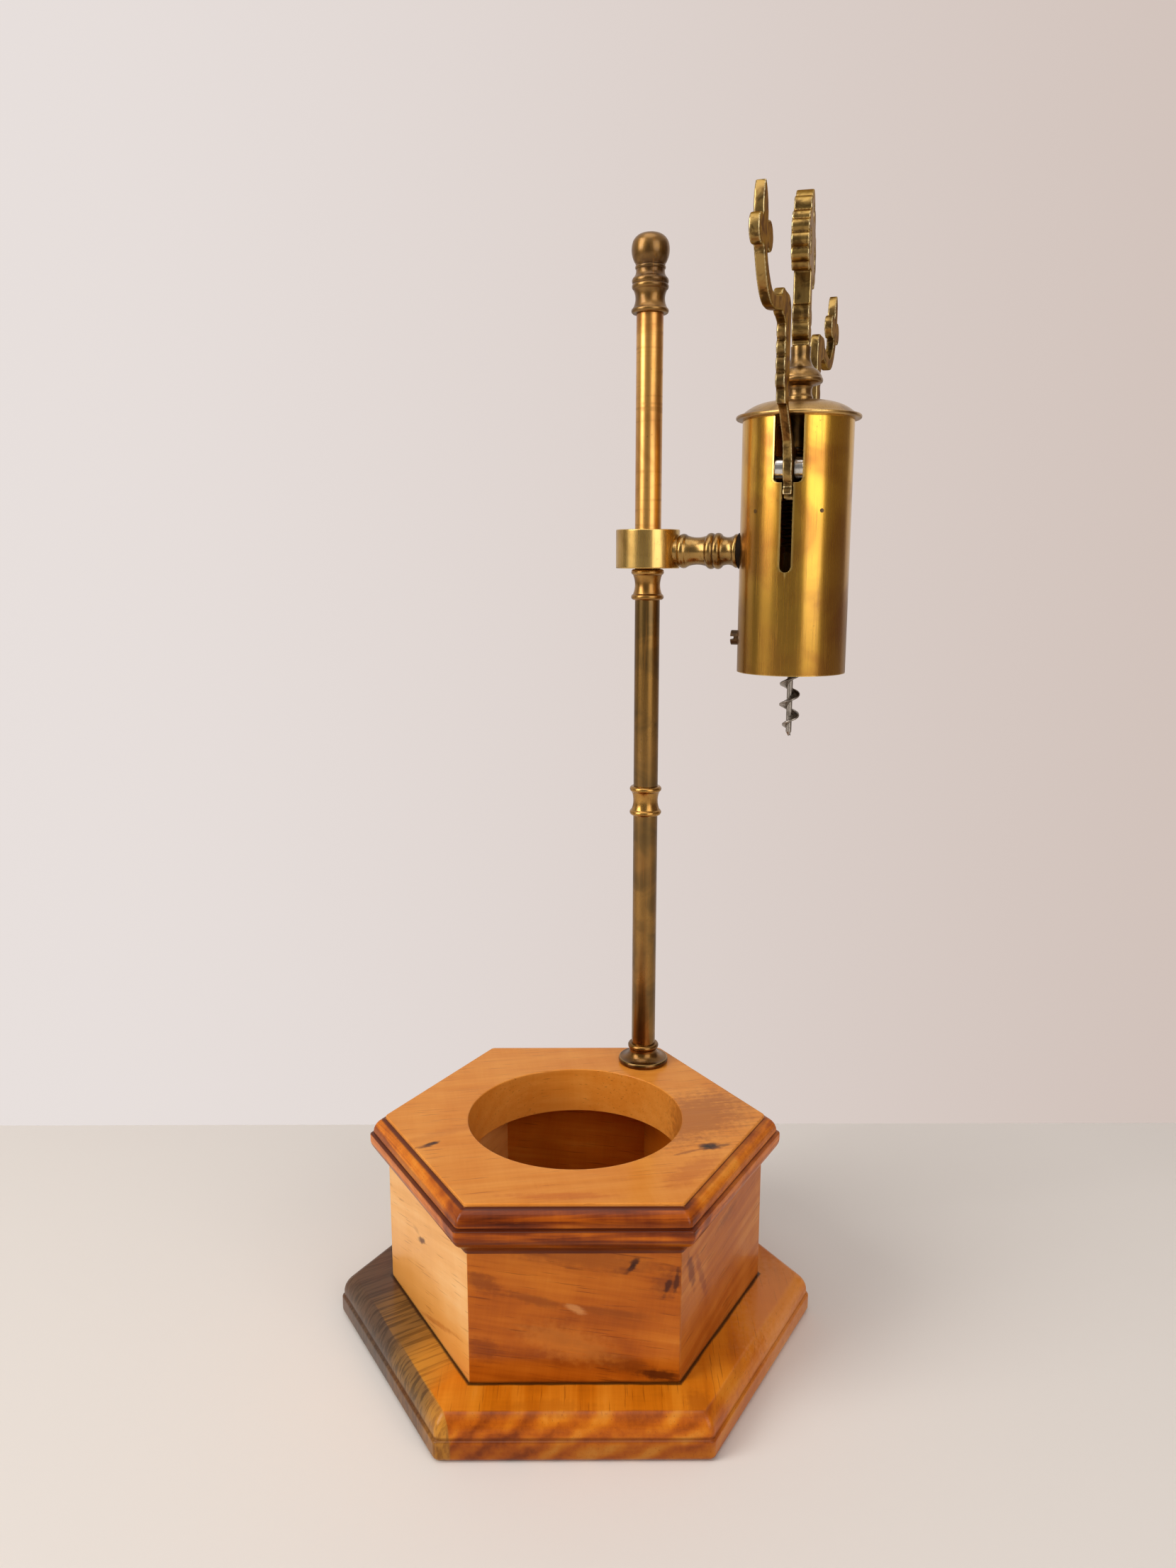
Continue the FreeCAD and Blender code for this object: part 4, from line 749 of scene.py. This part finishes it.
brassLooks = {
    "columnBrass": {"gold": (136, 95, 41), "brown": (82, 55, 24), "patchSpan": (0.34, 0.66), "rough": 0.29},
    "knopBrass": {"gold": (182, 136, 66), "brown": (120, 82, 36), "rough": 0.27, "paintedGrooveShade": 0.95},
    "upperTubeBrass": {"gold": (218, 162, 84), "brown": (172, 108, 46), "streaks": 0.5, "patchScale": 38.0,
                       "rough": 0.33, "streakStretch": (0.08, 0.08, 1.0), "streakScale": 420.0,
                       "streakBump": 0.0},
    "finialBrass": {"gold": (140, 104, 54), "brown": (86, 60, 32), "rough": 0.34, "blush": 0.3,
                    "blushShade": (136, 92, 46)},
    "ringBrass": {"gold": (210, 172, 98), "brown": (162, 122, 60), "rough": 0.26, "lacquer": 0.15},
    "armBrass": {"gold": (158, 124, 68), "brown": (98, 72, 36), "rough": 0.26, "patchScale": 120.0,
                 "paintedGrooveShade": 0.95, "blushShade": (150, 108, 56)},
    "barrelBrass": {"gold": (222, 172, 62), "brown": (170, 112, 42), "patchScale": 34.0, "rough": 0.24,
                    "streaks": 0.3, "blush": 0.42, "blushShade": (206, 130, 52),
                    # painted shade: darker lower down the barrel
                    "low": {"from": 340, "to": 285, "strength": 0.5, "shade": (156, 110, 52)}},
    "capBrass": {"gold": (198, 159, 94), "brown": (138, 105, 60), "rough": 0.3, "blush": 0.2, "rubbedAndHighlight": 0.75,
                 "blushShade": (150, 108, 60)},
    "leverBrass": {**castBase, "gold": (160, 130, 74), "brown": (92, 71, 38), "patchScale": 200.0, "cast": 0.5,
                   "mottle": 0.2, "rough": 0.35, "lacquer": 0.06, "edgeTint": (196, 160, 102),
                   "blushShade": (140, 102, 54)},
    "handleBrass": {**castBase, "gold": (158, 127, 70), "brown": (94, 71, 36), "patchScale": 190.0, "cast": 0.45,
                    "mottle": 0.18, "rough": 0.31, "lacquer": 0.1, "edgeTint": (206, 168, 108),
                    "blushShade": (134, 94, 46)},
    "bossBrass": {"gold": (148, 113, 62), "brown": (94, 70, 38), "patchScale": 130.0, "cast": 0.2,
                  "streaks": 0.0, "rough": 0.3, "blush": 0.3, "blushShade": (142, 100, 52)},
    # painted shade: a darker brass for the parts that sit inside and under the barrel
    "shadedInnerBrass": {"gold": (118, 90, 50), "brown": (66, 46, 24), "rough": 0.42, "paintedGrooveShade": 0.9},
}
brass = {name: brassMaterial(name, {**brassBase, **look}) for name, look in brassLooks.items()}

steelSpans = {"cloud": (0.4, 0.75), "marks": (0.55, 0.75), "paintedGrooveShade": (0.05, 0.5)}


def steelMaterial(name, look):
    # plain metal with fine turning marks, faint rust or oil stains, dark specks and painted shade in its grooves
    made = Recipe(name)
    place = made.place()
    cloud = made.noise(place, look["cloudScale"], 3.0, 0.6)
    marks = made.noise(made.scaled(place, look["stretch"]), 2400.0, 1.0)
    colour = made.mix(cloud.between(*steelSpans["cloud"]), paint(*look["bright"]), paint(*look["dull"]))
    colour = made.laid(marks.between(*steelSpans["marks"]) * 0.35, colour, look["mark"])
    # painted shade in grooves, in the colour of the turning marks
    dirt = made.attribute("hollow").between(*steelSpans["paintedGrooveShade"])
    colour = made.laid(dirt * 0.7, colour, look["mark"])
    rough = look["rough"] + (cloud - 0.5) * 0.2 + (marks - 0.5) * 0.08
    normal = made.bump(marks, 0.08, 0.0002)
    return made.finish({"Base Color": colour, "Metallic": look["metal"], "Roughness": rough, "Normal": normal,
                        "Specular IOR Level": look["specular"]})


steelBase = {"metal": 1.0, "specular": 0.5, "stretch": (1.0, 1.0, 1.0)}
steelLooks = {
    "brightSteel": {"bright": (214, 212, 208), "dull": (150, 146, 140), "mark": (92, 86, 78), "rough": 0.24,
                    "cloudScale": 180.0, "stretch": (1.0, 1.0, 0.1)},
    "wormSteel": {"bright": (168, 160, 150), "dull": (98, 88, 78), "mark": (60, 50, 42), "rough": 0.34,
                  "cloudScale": 260.0, "stretch": (1.0, 1.0, 0.4)},
    # a real washer, painted near black and matt for the shade where the arm meets the barrel
    "darkWasherAndShade": {"bright": (34, 24, 16), "dull": (18, 13, 10), "mark": (10, 8, 6), "rough": 0.6,
                   "cloudScale": 220.0, "metal": 0.0, "specular": 0.06},
    "darkScrew": {"bright": (92, 68, 44), "dull": (46, 34, 26), "mark": (22, 18, 14), "rough": 0.42,
                  "cloudScale": 300.0, "metal": 0.85},
}
steel = {name: steelMaterial(name, {**steelBase, **look}) for name, look in steelLooks.items()}
print("metals done")


def turnedPiece(name, profile, size, axis, body, look, node, columns=96, closed=False):
    # an upright turning on the column's or the head's axis, its corners softened by the size's edge
    mesh = turnedMesh(name, softened(profile, size["edge"], closed), (*axis, 0.0), columns=columns, closed=closed)
    addPiece(name, mesh, body, brass[look], node)


columnSize = {
    "tube": 5.2, "upperTube": 5.4, "knop": 6.8, "knopHeight": 12.6, "bead": 2.4, "neck": 0.8, "waist": 1.55,
    "footRadius": 10.5, "footHeight": 9.0, "edge": 0.25,
    "finial": [(6.9, 0), ((7.5, 1.0), (6.9, 2.0)), ((5.9, 5.6), (6.7, 8.9)), ((7.35, 10.0), (7.0, 11.1)),
               ((7.35, 12.3), (6.7, 13.5)), ((5.85, 15.0), (5.8, 16.6)), ((6.1, 17.3), (5.8, 18.0)), (6.0, 18.7),
               ((7.45, 22.4), (7.1, 26.8)), ((5.7, 28.75), (3.4, 29.95)), (0, 30.3)],
}


def tubeProfile(radius, low, high):
    return outline((0, low), (radius, low), (radius, high), (0, high))


def knopProfile(low, size):
    # bead, hollow waist, bead
    radius, high, bead = size["knop"], size["knopHeight"], size["bead"]
    edge = radius - size["neck"]
    return outline((0, 0), (edge, 0), ((radius, bead / 2), (edge, bead)),
                   ((radius - size["waist"], high / 2), (edge, high - bead)),
                   ((radius, high - bead / 2), (edge, high)), (0, high), base=low)


def footProfile(low, size):
    # wide bead, hollow, small bead
    wide, knop, high, bead = size["footRadius"], size["knop"], size["footHeight"], size["bead"]
    return outline((0, 0), (wide, 0), ((wide + 0.5, bead / 2), (wide, bead)),
                   ((knop + 0.4, 1.5 * bead), (knop - 0.6, high - bead)),
                   ((knop, high - bead / 2), (knop - size["neck"], high)), (0, high), base=low)


def levels(node):
    # a node's lowest and highest z, in millimetres
    low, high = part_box(node)
    return low.z / mm, high.z / mm


def column(size):
    # a knop starts where the tube under it ends
    low, mid, high = (levels(node) for node in ("lower_tube", "middle_tube", "upper_tube"))
    finial = outline((0, 0), *size["finial"], fine=12, base=high[1])
    for name, profile, look, node in (
            ("columnFoot", footProfile(low[0] - size["footHeight"], size), "columnBrass", "column_foot"),
            ("lowerTube", tubeProfile(size["tube"], *low), "columnBrass", "lower_tube"),
            ("middleTube", tubeProfile(size["tube"], *mid), "columnBrass", "middle_tube"),
            ("upperTube", tubeProfile(size["upperTube"], *high), "upperTubeBrass", "upper_tube"),
            ("lowerKnop", knopProfile(low[1], size), "knopBrass", "lower_knop"),
            ("upperKnop", knopProfile(mid[1], size), "knopBrass", "upper_knop"),
            ("columnFinial", finial, "finialBrass", "finial")):
        turnedPiece(name, profile, size, columnAxis, "stand", look, node, columns=72)


column(columnSize)
print("column done")

ringSize = {"radius": 13.2, "bore": 7.46, "counter": 9.1, "depth": 1.26, "edge": 0.5}
bushSize = {"radius": 7.4, "bore": 5.46, "flange": 9.0, "flangeHeight": 1.2, "edge": 0.15}


def ringAndBush(ring, bush):
    # ring with a counterbore for the flange of the bush, then the bush
    low, high = levels("ring")
    counter, seat = ring["counter"], low + ring["depth"]
    profile = outline((counter, low), (ring["radius"], low), (ring["radius"], high),
                      (ring["bore"], high), (ring["bore"], seat), (counter, seat))
    turnedPiece("ringCollar", profile, ring, columnAxis, "head", "ringBrass", "ring", closed=True)
    flange, seat = bush["flange"], low + bush["flangeHeight"]
    profile = outline((bush["bore"], low), (flange, low), (flange, seat),
                      (bush["radius"], seat), (bush["radius"], high), (bush["bore"], high))
    turnedPiece("slideBush", profile, bush, columnAxis, "slide_bush", "columnBrass", "slide_bush",
                columns=72, closed=True)


armSize = {"length": 25.1, "level": 313.7, "hidden": 3.0, "edge": 0.2}


def armBaluster(size):
    # turned about the line from the ring to the barrel: root bead, waist, double bead, waist, end bead
    last = size["length"]
    mid = 0.6 * last
    waist = (mid + 3.2 + last - 2.0) / 2
    profile = outline((0, -size["hidden"]), (5.9, -size["hidden"]), (6.1, 0.4), ((6.95, 2.0), (6.3, 3.7)),
                      ((5.5, 7.4), (6.2, mid - 3.2)), (6.6, mid - 2.9), ((7.25, mid - 1.5), (6.6, mid)),
                      ((7.25, mid + 1.5), (6.6, mid + 2.9)), (6.1, mid + 3.2),
                      ((5.5, waist), (6.2, last - 2.0)), ((6.75, last - 1.0), (6.3, last)), (0, last), fine=11)
    root = np.array([*columnAxis, size["level"] * mm]) + headOut * ringSize["radius"] * mm
    mesh = turnedMesh("armBaluster", softened(profile, size["edge"]), root, headOut, headAcross, 80)
    addPiece("armBaluster", mesh, "head", brass["armBrass"], "arm")


ringAndBush(ringSize, bushSize)
armBaluster(armSize)
print("ring and arm done")

barrelSize = {"radius": 21.6, "wall": 1.5, "slotHalf": 5.5, "slotCorner": 2.0, "slitHalf": 2.2,
              "shelf": 338.9, "slitEnd": 305.4, "edge": 0.25, "endRow": 0.5, "columns": 61, "evenness": 0.85}
barrelLow, barrelHigh = levels("barrel")


def slotEdge(size):
    # (half width, height) up the slot's side: closed wall, round end, slit, shelf, corner, wide slot
    slit, end, shelf, endRow = size["slitHalf"], size["slitEnd"], size["shelf"], size["endRow"]
    corner, wide = size["slotCorner"], size["slotHalf"]
    below = np.stack([np.zeros(13), np.append(barrelLow, np.linspace(barrelLow + endRow, end, 12))], -1)
    a = np.linspace(0, math.pi / 2, 9)[1:]
    nose = np.stack([slit * np.sin(a), end + slit * (1 - np.cos(a))], -1)
    up = np.stack([np.full(12, slit), np.linspace(end + slit, shelf, 13)[1:]], -1)
    step = np.stack([np.linspace(slit, wide - corner, 4)[1:], np.full(3, shelf)], -1)
    turn = np.stack([wide - corner + corner * np.sin(a), shelf + corner * (1 - np.cos(a))], -1)
    high = np.linspace(shelf + corner, barrelHigh - endRow, 10)[1:]
    high = np.stack([np.full(10, wide), np.append(high, barrelHigh)], -1)
    return np.concatenate([below, nose, up, step, turn, high])


def barrelShell(size):
    # half a barrel between the slots: (-cos(angle) across + sin(angle) out) * R, with the angle from
    # asin(w / R) to 180 degrees less that; a row's height bends from the slot's edge to an even spacing
    # in the middle by sin(share * 180 degrees)^2
    edge = slotEdge(size)
    radius, endRow = size["radius"], size["endRow"]
    start = np.arcsin(edge[:, 0] / radius)[:, None]
    share = np.linspace(0, 1, size["columns"])[None]
    angle = start + (math.pi - 2 * start) * share
    level = np.maximum.accumulate(edge[:, 1] + np.linspace(0, 1e-3, len(edge)))
    last = len(level) - 1
    even = np.interp(np.arange(last + 1), [0, 1, last - 1, last],
                     [barrelLow, barrelLow + endRow, barrelHigh - endRow, barrelHigh])
    blend = np.sin(math.pi * share) ** 2 * size["evenness"]
    height = level[:, None] * (1 - blend) + even[:, None] * blend
    halves = []
    for side in (1, -1):
        across = -np.cos(angle)[..., None] * headAcross
        out = side * np.sin(angle)[..., None] * headOut
        grid = (across + out) * radius * mm + np.array([*headAxis, 0.0])
        grid = grid + height[..., None] * mm * np.array([0.0, 0.0, 1.0])
        halves.append(meshFromGrid("half", grid, closedColumns=False))
    return joined("barrelShell", halves)


def barrel(size):
    # the open shell facing outwards, given its wall inwards and narrow bevels
    shell = barrelShell(size)
    closeSeams(shell, 2e-5)
    face = shell.polygons[0]
    outward = face.center - Vector((*headAxis, 0.0))
    if face.normal.x * outward.x + face.normal.y * outward.y < 0:
        shell.flip_normals()
    wall = {"thickness": size["wall"] * mm, "offset": -1, "use_even_offset": True}
    edges = {"width": size["edge"] * mm, "segments": 2, "limit_method": "ANGLE", "angle_limit": math.radians(40)}
    solid = worked("barrelTube", shell, ("SOLIDIFY", wall), ("BEVEL", edges))
    addPiece("barrelTube", solid, "head", brass["barrelBrass"], "barrel", rounds=0)


capSize = {"rim": 24.3, "rimHeight": 1.8, "crown": 5.4, "bulge": 4.0, "reach": 22.4, "hole": 6.3, "plate": 1.6,
           "seat": 18.6, "seatHeight": 0.6, "flange": 22.9, "skirt": 17.0, "sink": 0.1, "edge": 0.25}


def barrelCap(low, size):
    # thin rolled rim, flat flange, crown of height crown * (1 - (r / reach)^bulge), hole for the spindle
    def crown(radius):
        rise = 1 - min(radius / size["reach"], 1.0) ** size["bulge"]
        return low + size["rimHeight"] - size["sink"] + size["crown"] * rise

    top = [(r, crown(r)) for r in np.linspace(size["flange"], size["hole"], 24)]
    under = [(r, crown(r) - size["plate"]) for r in np.linspace(size["hole"], size["skirt"], 8)]
    rim, half = size["rim"], size["rimHeight"] / 2
    start = outline((size["seat"], 0), (rim - half, 0), ((rim, half), (rim - 0.8, 2 * half)), fine=7, base=low)
    profile = np.concatenate([start, top, under, [(size["seat"], low + size["seatHeight"])]])
    turnedPiece("barrelCap", profile, size, headAxis, "head", "capBrass", "barrel_cap",
                columns=120, closed=True)


guideSize = {"outer": 20.05, "chamfer": 0.6, "bore": 12.5, "mouth": 18.6, "coneTop": 15.2, "coneHeight": 11.5,
             "edge": 0.4}


def neckGuide(size):
    # cone that finds the bottle's lip, and a bore for its neck
    low, high = levels("neck_guide")
    outer, bore, cone = size["outer"], size["bore"], low + size["coneHeight"]
    profile = outline((outer - size["chamfer"], low), (outer, low + size["chamfer"]), (outer, high), (bore, high),
                      (bore, cone), (size["coneTop"], cone), (size["mouth"], low))
    turnedPiece("neckGuide", profile, size, headAxis, "head", "shadedInnerBrass", "neck_guide",
                closed=True)


barrel(barrelSize)
barrelCap(barrelHigh, capSize)
neckGuide(guideSize)
print("barrel done")

bossSize = {"neck": 5.3, "rim": 8.9, "mushroom": 376.7, "top": 390.9, "low": 353.0, "spigot": 3.9,
            "edge": 0.35}


def handleBoss(size):
    # neck with a small flare, flat-bottomed mushroom with a round crown, stem up to the handle
    rim, neck = size["rim"], size["neck"]
    low, top = size["low"] - size["mushroom"], size["top"] - size["mushroom"]
    profile = outline((0, low), (neck, low), (neck, -4.6), ((neck - 0.6, -2.4), (neck - 0.1, -0.5)),
                      (rim - 1.0, 0.3), ((rim, 1.3), (rim - 0.4, 2.6)), ((rim - 1.5, 4.7), (neck + 0.2, 6.2)),
                      ((neck - 0.9, 8.0), (neck - 1.5, 10.4)), (size["spigot"], top), (0, top),
                      fine=14, base=size["mushroom"])
    turnedPiece("handleBoss", profile, size, headAxis, "spindle", "bossBrass", "handle_boss")


wormSize = {"tip": 239.36, "top": 298.26, "pitch": 8.45, "radius": 4.1, "core": 1.15, "shank": 1.6,
            "point": 0.15, "cone": 7.0, "root": 0.8, "bladeTop": 291.26, "leftHeight": 252.26, "leftAngle": 170.0,
            "section": [(0, -1.45), (0.35, -1.05), (0.75, -0.62), (0.96, -0.42), (1, -0.2), (1, 0.2),
                        (0.96, 0.42), (0.75, 0.62), (0.35, 1.05), (0, 1.45)]}


def wormScrew(size):
    # core turned about the axis; blade section carried up a right-handed helix z = pitch * angle / 360,
    # its rim kept within the cone of the point, min(R, point + slope * (z - tip))
    tip, top, bladeTop, core, shank, point, root = (
        size[key] for key in ("tip", "top", "bladeTop", "core", "shank", "point", "root"))
    slope = (size["radius"] - point) / size["cone"]
    profile = outline((0, tip), (point, tip), (core, tip + 1.0 / slope), (core, bladeTop + 4),
                      (shank, bladeTop + 4.5), (shank, top + 1), (0, top + 1))
    centre = np.array([*headAxis, 0.0])
    rod = turnedMesh("core", softened(profile, 0.2), centre, columns=32)
    height = np.linspace(tip + 0.4, bladeTop, 340)
    angle = np.radians(size["leftAngle"] + 360 * (height - size["leftHeight"]) / size["pitch"])
    rim = np.minimum(size["radius"], point + slope * (height - tip))
    rim = np.minimum(rim, root + 0.1 + (bladeTop - height) * 3.0)
    share = np.clip((rim - root) / (size["radius"] - root), 0.02, 1)
    section = np.array(size["section"])
    radius = root + section[None, :, 0] * (rim[:, None] - root)
    lift = section[None, :, 1] * (0.25 + 0.75 * share[:, None])
    level = np.clip(height[:, None] + lift, tip, top)
    grid = np.stack([radius * np.cos(angle)[:, None], radius * np.sin(angle)[:, None], level], -1)
    blade = meshFromGrid("blade", grid * mm + centre)
    work = bmesh.new()
    work.from_mesh(blade)
    bmesh.ops.holes_fill(work, edges=[edge for edge in work.edges if edge.is_boundary])
    work.to_mesh(blade)
    work.free()
    mesh = joined("wormScrew", [rod, blade])
    addPiece("wormScrew", mesh, "spindle", steel["wormSteel"], "worm", 0.0008)


castSize = {"voxel": 0.3, "rounds": 18, "strength": 0.5}


def castPiece(name, node, body, look, size):
    # the casting's sharp blank, rebuilt on a fine even skin and smoothed, which rounds its edges
    mesh = nodes[node].data.copy()
    closeSeams(mesh, 1e-6)
    solid = worked(name, mesh, ("REMESH", {"mode": "VOXEL", "voxel_size": size["voxel"] * mm}),
                   ("SMOOTH", {"factor": size["strength"], "iterations": size["rounds"]}))
    solid.materials.clear()
    addPiece(name, solid, body, brass[look], node, 0.0009, flats=False)


handleBoss(bossSize)
wormScrew(wormSize)
castPiece("leverFront", "lever_front", "lever_front", "leverBrass", castSize)
castPiece("leverBack", "lever_back", "lever_back", "leverBrass", castSize)
castPiece("handlePlate", "handle_plate", "spindle", "handleBrass", castSize)
print("castings done")

# frame parts that keep their own shape
keptFinishes = {
    "brightSteel": ("plinth_screws", "tie_rod", "tie_rod_nut", "tie_rod_washer", "arm_nut", "arm_stud",
                    "handle_pin", "pin_collars_front", "pin_collars_back", "pivot_pin_front", "pivot_pin_back",
                    "spindle"),
    "shadedInnerBrass": ("lever_lugs_front", "lever_lugs_back", "lug_rivets", "rack_sleeve"),
    "darkWasherAndShade": ("arm_washer",), "darkScrew": ("guide_screw",),
}
finishes = {**brass, **steel}
for finish, keptNodes in keptFinishes.items():
    for node in keptNodes:
        nodes[node].data.materials.clear()
        nodes[node].data.materials.append(finishes[finish])
print("kept parts painted")

# floor, light and camera
studio = {
    "floor": (234, 227, 220), "floorClouds": 0.985, "haze": (0.5, 1.1), "floorHalf": 8.0,
    # the wall's left and right colours paint the light falling off towards the right
    "wallLeft": (232, 224, 221), "wallRight": (208, 192, 184), "wallSpan": (-0.35, 0.45), "wallAt": 166.0,
    "wallSize": 4.0, "room": (214, 206, 202), "roomStrength": 0.46, "middle": (0.03, 0.0, 0.22),
    "lamps": [
        # name, azimuth and height of its middle seen from the object, distance, width, height, watts, tint
        ("leftLamp", -65.0, 30, 1.5, 0.7, 1.2, 14.4, (1.0, 0.985, 0.965)),
        ("rightLamp", 31.5, 20, 1.5, 0.95, 1.2, 7.6, (1.0, 0.985, 0.965)),
        ("topLamp", -30, 78, 1.6, 1.2, 1.2, 7.4, (1.0, 0.99, 0.98)),
    ],
    "cardDistance": 1.9, "cardHeight": 1.6,
    "cards": [  # name, first and last azimuth, colour
        ("cameraCard", -58, 14, (129, 125, 122)),
        ("rightCard", 50, 120, (121, 104, 96)),
        ("leftCard", -104, -84, (112, 108, 104)),
    ],
}


def staged(name, rows, material):
    # a sheet of the studio, from rows of points
    mesh = meshFromGrid(name, np.array(rows, float), closedColumns=False)
    mesh.materials.append(material)
    sheet = linked(name, mesh)
    return sheet


def floorSheet(look):
    # pale matt floor that fades into the room's colour far off
    made = Recipe("paleFloor")
    place = made.place()
    cloud = made.noise(place, 2.5)
    colour = made.mix(cloud, paint(*look["floor"]), paint(*[look["floorClouds"] * c for c in look["floor"]]))
    shader = made.node("ShaderNodeBsdfPrincipled", {}, {"Base Color": colour, "Roughness": 0.6})
    far = made.node("ShaderNodeVectorMath", {"operation": "LENGTH"}, {0: place}, "Value").between(*look["haze"])
    haze = made.glow(paint(*look["room"]))
    both = made.node("ShaderNodeMixShader", {}, {0: far * made.ray("Camera"), 1: shader, 2: haze})
    half = look["floorHalf"]
    staged("floor", [[(-half, -half, 0), (half, -half, 0)], [(-half, half, 0), (half, half, 0)]],
           made.output(both))


def wallSheet(look):
    # the wall shows to the camera from its front only, and lets every other ray through
    made = Recipe("paleWall")
    # painted light: the glowing wall darkens from left to right, as the light falls off
    across = made.along(made.place(), (1.0, 0.0, 0.0)).between(*look["wallSpan"])
    glow = made.glow(made.mix(across, paint(*look["wallLeft"]), paint(*look["wallRight"])))
    front = 1 - made.node("ShaderNodeNewGeometry", {}, {}, "Backfacing")
    clear = made.node("ShaderNodeBsdfTransparent", {}, {})
    both = made.node("ShaderNodeMixShader", {}, {0: made.ray("Camera") * front, 1: clear, 2: glow})
    back, wide = look["wallAt"] * mm, look["wallSize"]
    wall = staged("wall", [[(-wide, back, 0), (wide, back, 0)], [(-wide, back, wide), (wide, back, wide)]],
                  made.output(both))
    wall.visible_shadow = wall.visible_diffuse = wall.visible_glossy = wall.visible_transmission = False


def room(look):
    # full strength to the camera, to mirrors and through glass, roomStrength to matt surfaces
    world = bpy.data.worlds.new("studio")
    bpy.context.scene.world = world
    world.use_nodes = True
    tree = world.node_tree
    camera, glossy, through = (addNode(tree, "ShaderNodeLightPath", {}, {}, f"Is {kind} Ray")
                               for kind in ("Camera", "Glossy", "Transmission"))
    seen = camera.larger(glossy).larger(through)
    light = tree.nodes["Background"].inputs
    plug(light[0], paint(*look["room"]))
    plug(light[1], seen * (1 - look["roomStrength"]) + look["roomStrength"])


def around(azimuth, elevation, distance):
    # a place on a sphere round the object's middle; azimuth 0 is in front, positive to the right
    a, e = math.radians(azimuth), math.radians(elevation)
    return Vector((math.sin(a) * math.cos(e), -math.cos(a) * math.cos(e), math.sin(e))) * distance


def lampsAndCards(look):
    # area lamps turned to the object's middle, and glowing cards that only its reflections show
    middle = Vector(look["middle"])
    for name, azimuth, elevation, distance, width, height, watts, tint in look["lamps"]:
        lamp = bpy.data.lights.new(name, "AREA")
        lamp.shape = "RECTANGLE"
        lamp.size, lamp.size_y, lamp.energy, lamp.color = width, height, watts, tint
        holder = linked(name, lamp)
        away = around(azimuth, elevation, distance)
        holder.location = middle + away
        holder.rotation_euler = away.to_track_quat("Z", "Y").to_euler()
        holder.visible_camera = False
    for name, first, last, shade in look["cards"]:
        made = Recipe(name)
        a = np.radians(np.linspace(first, last, 9))
        low = np.stack([np.sin(a), -np.cos(a), np.zeros(9)], -1) * look["cardDistance"]
        low = low + np.array(middle) * (1, 1, 0)
        card = staged(name, [low, low + (0, 0, look["cardHeight"])], made.output(made.glow(paint(*shade))))
        card.visible_camera = card.visible_diffuse = card.visible_shadow = False


viewpoint = {"at": (3.0197, -444.3746, 311.2223), "down": 0.190278, "turn": -0.0049448, "lens": 27.033,
             "sensor": 36.0, "clip": (0.02, 100.0)}


def placeCamera(view):
    camera = bpy.data.cameras.new("camera")
    camera.sensor_width, camera.sensor_fit, camera.lens = view["sensor"], "AUTO", view["lens"]
    camera.clip_start, camera.clip_end = view["clip"]
    holder = linked("camera", camera)
    holder.location = Vector(view["at"]) * mm
    holder.rotation_euler = Euler((math.pi / 2 - view["down"], 0.0, view["turn"]))
    bpy.context.scene.camera = holder


floorSheet(studio)
wallSheet(studio)
room(studio)
lampsAndCards(studio)
placeCamera(viewpoint)
bpy.context.scene.view_settings.view_transform = "Standard"
print("studio done")

bpy.context.view_layer.update()
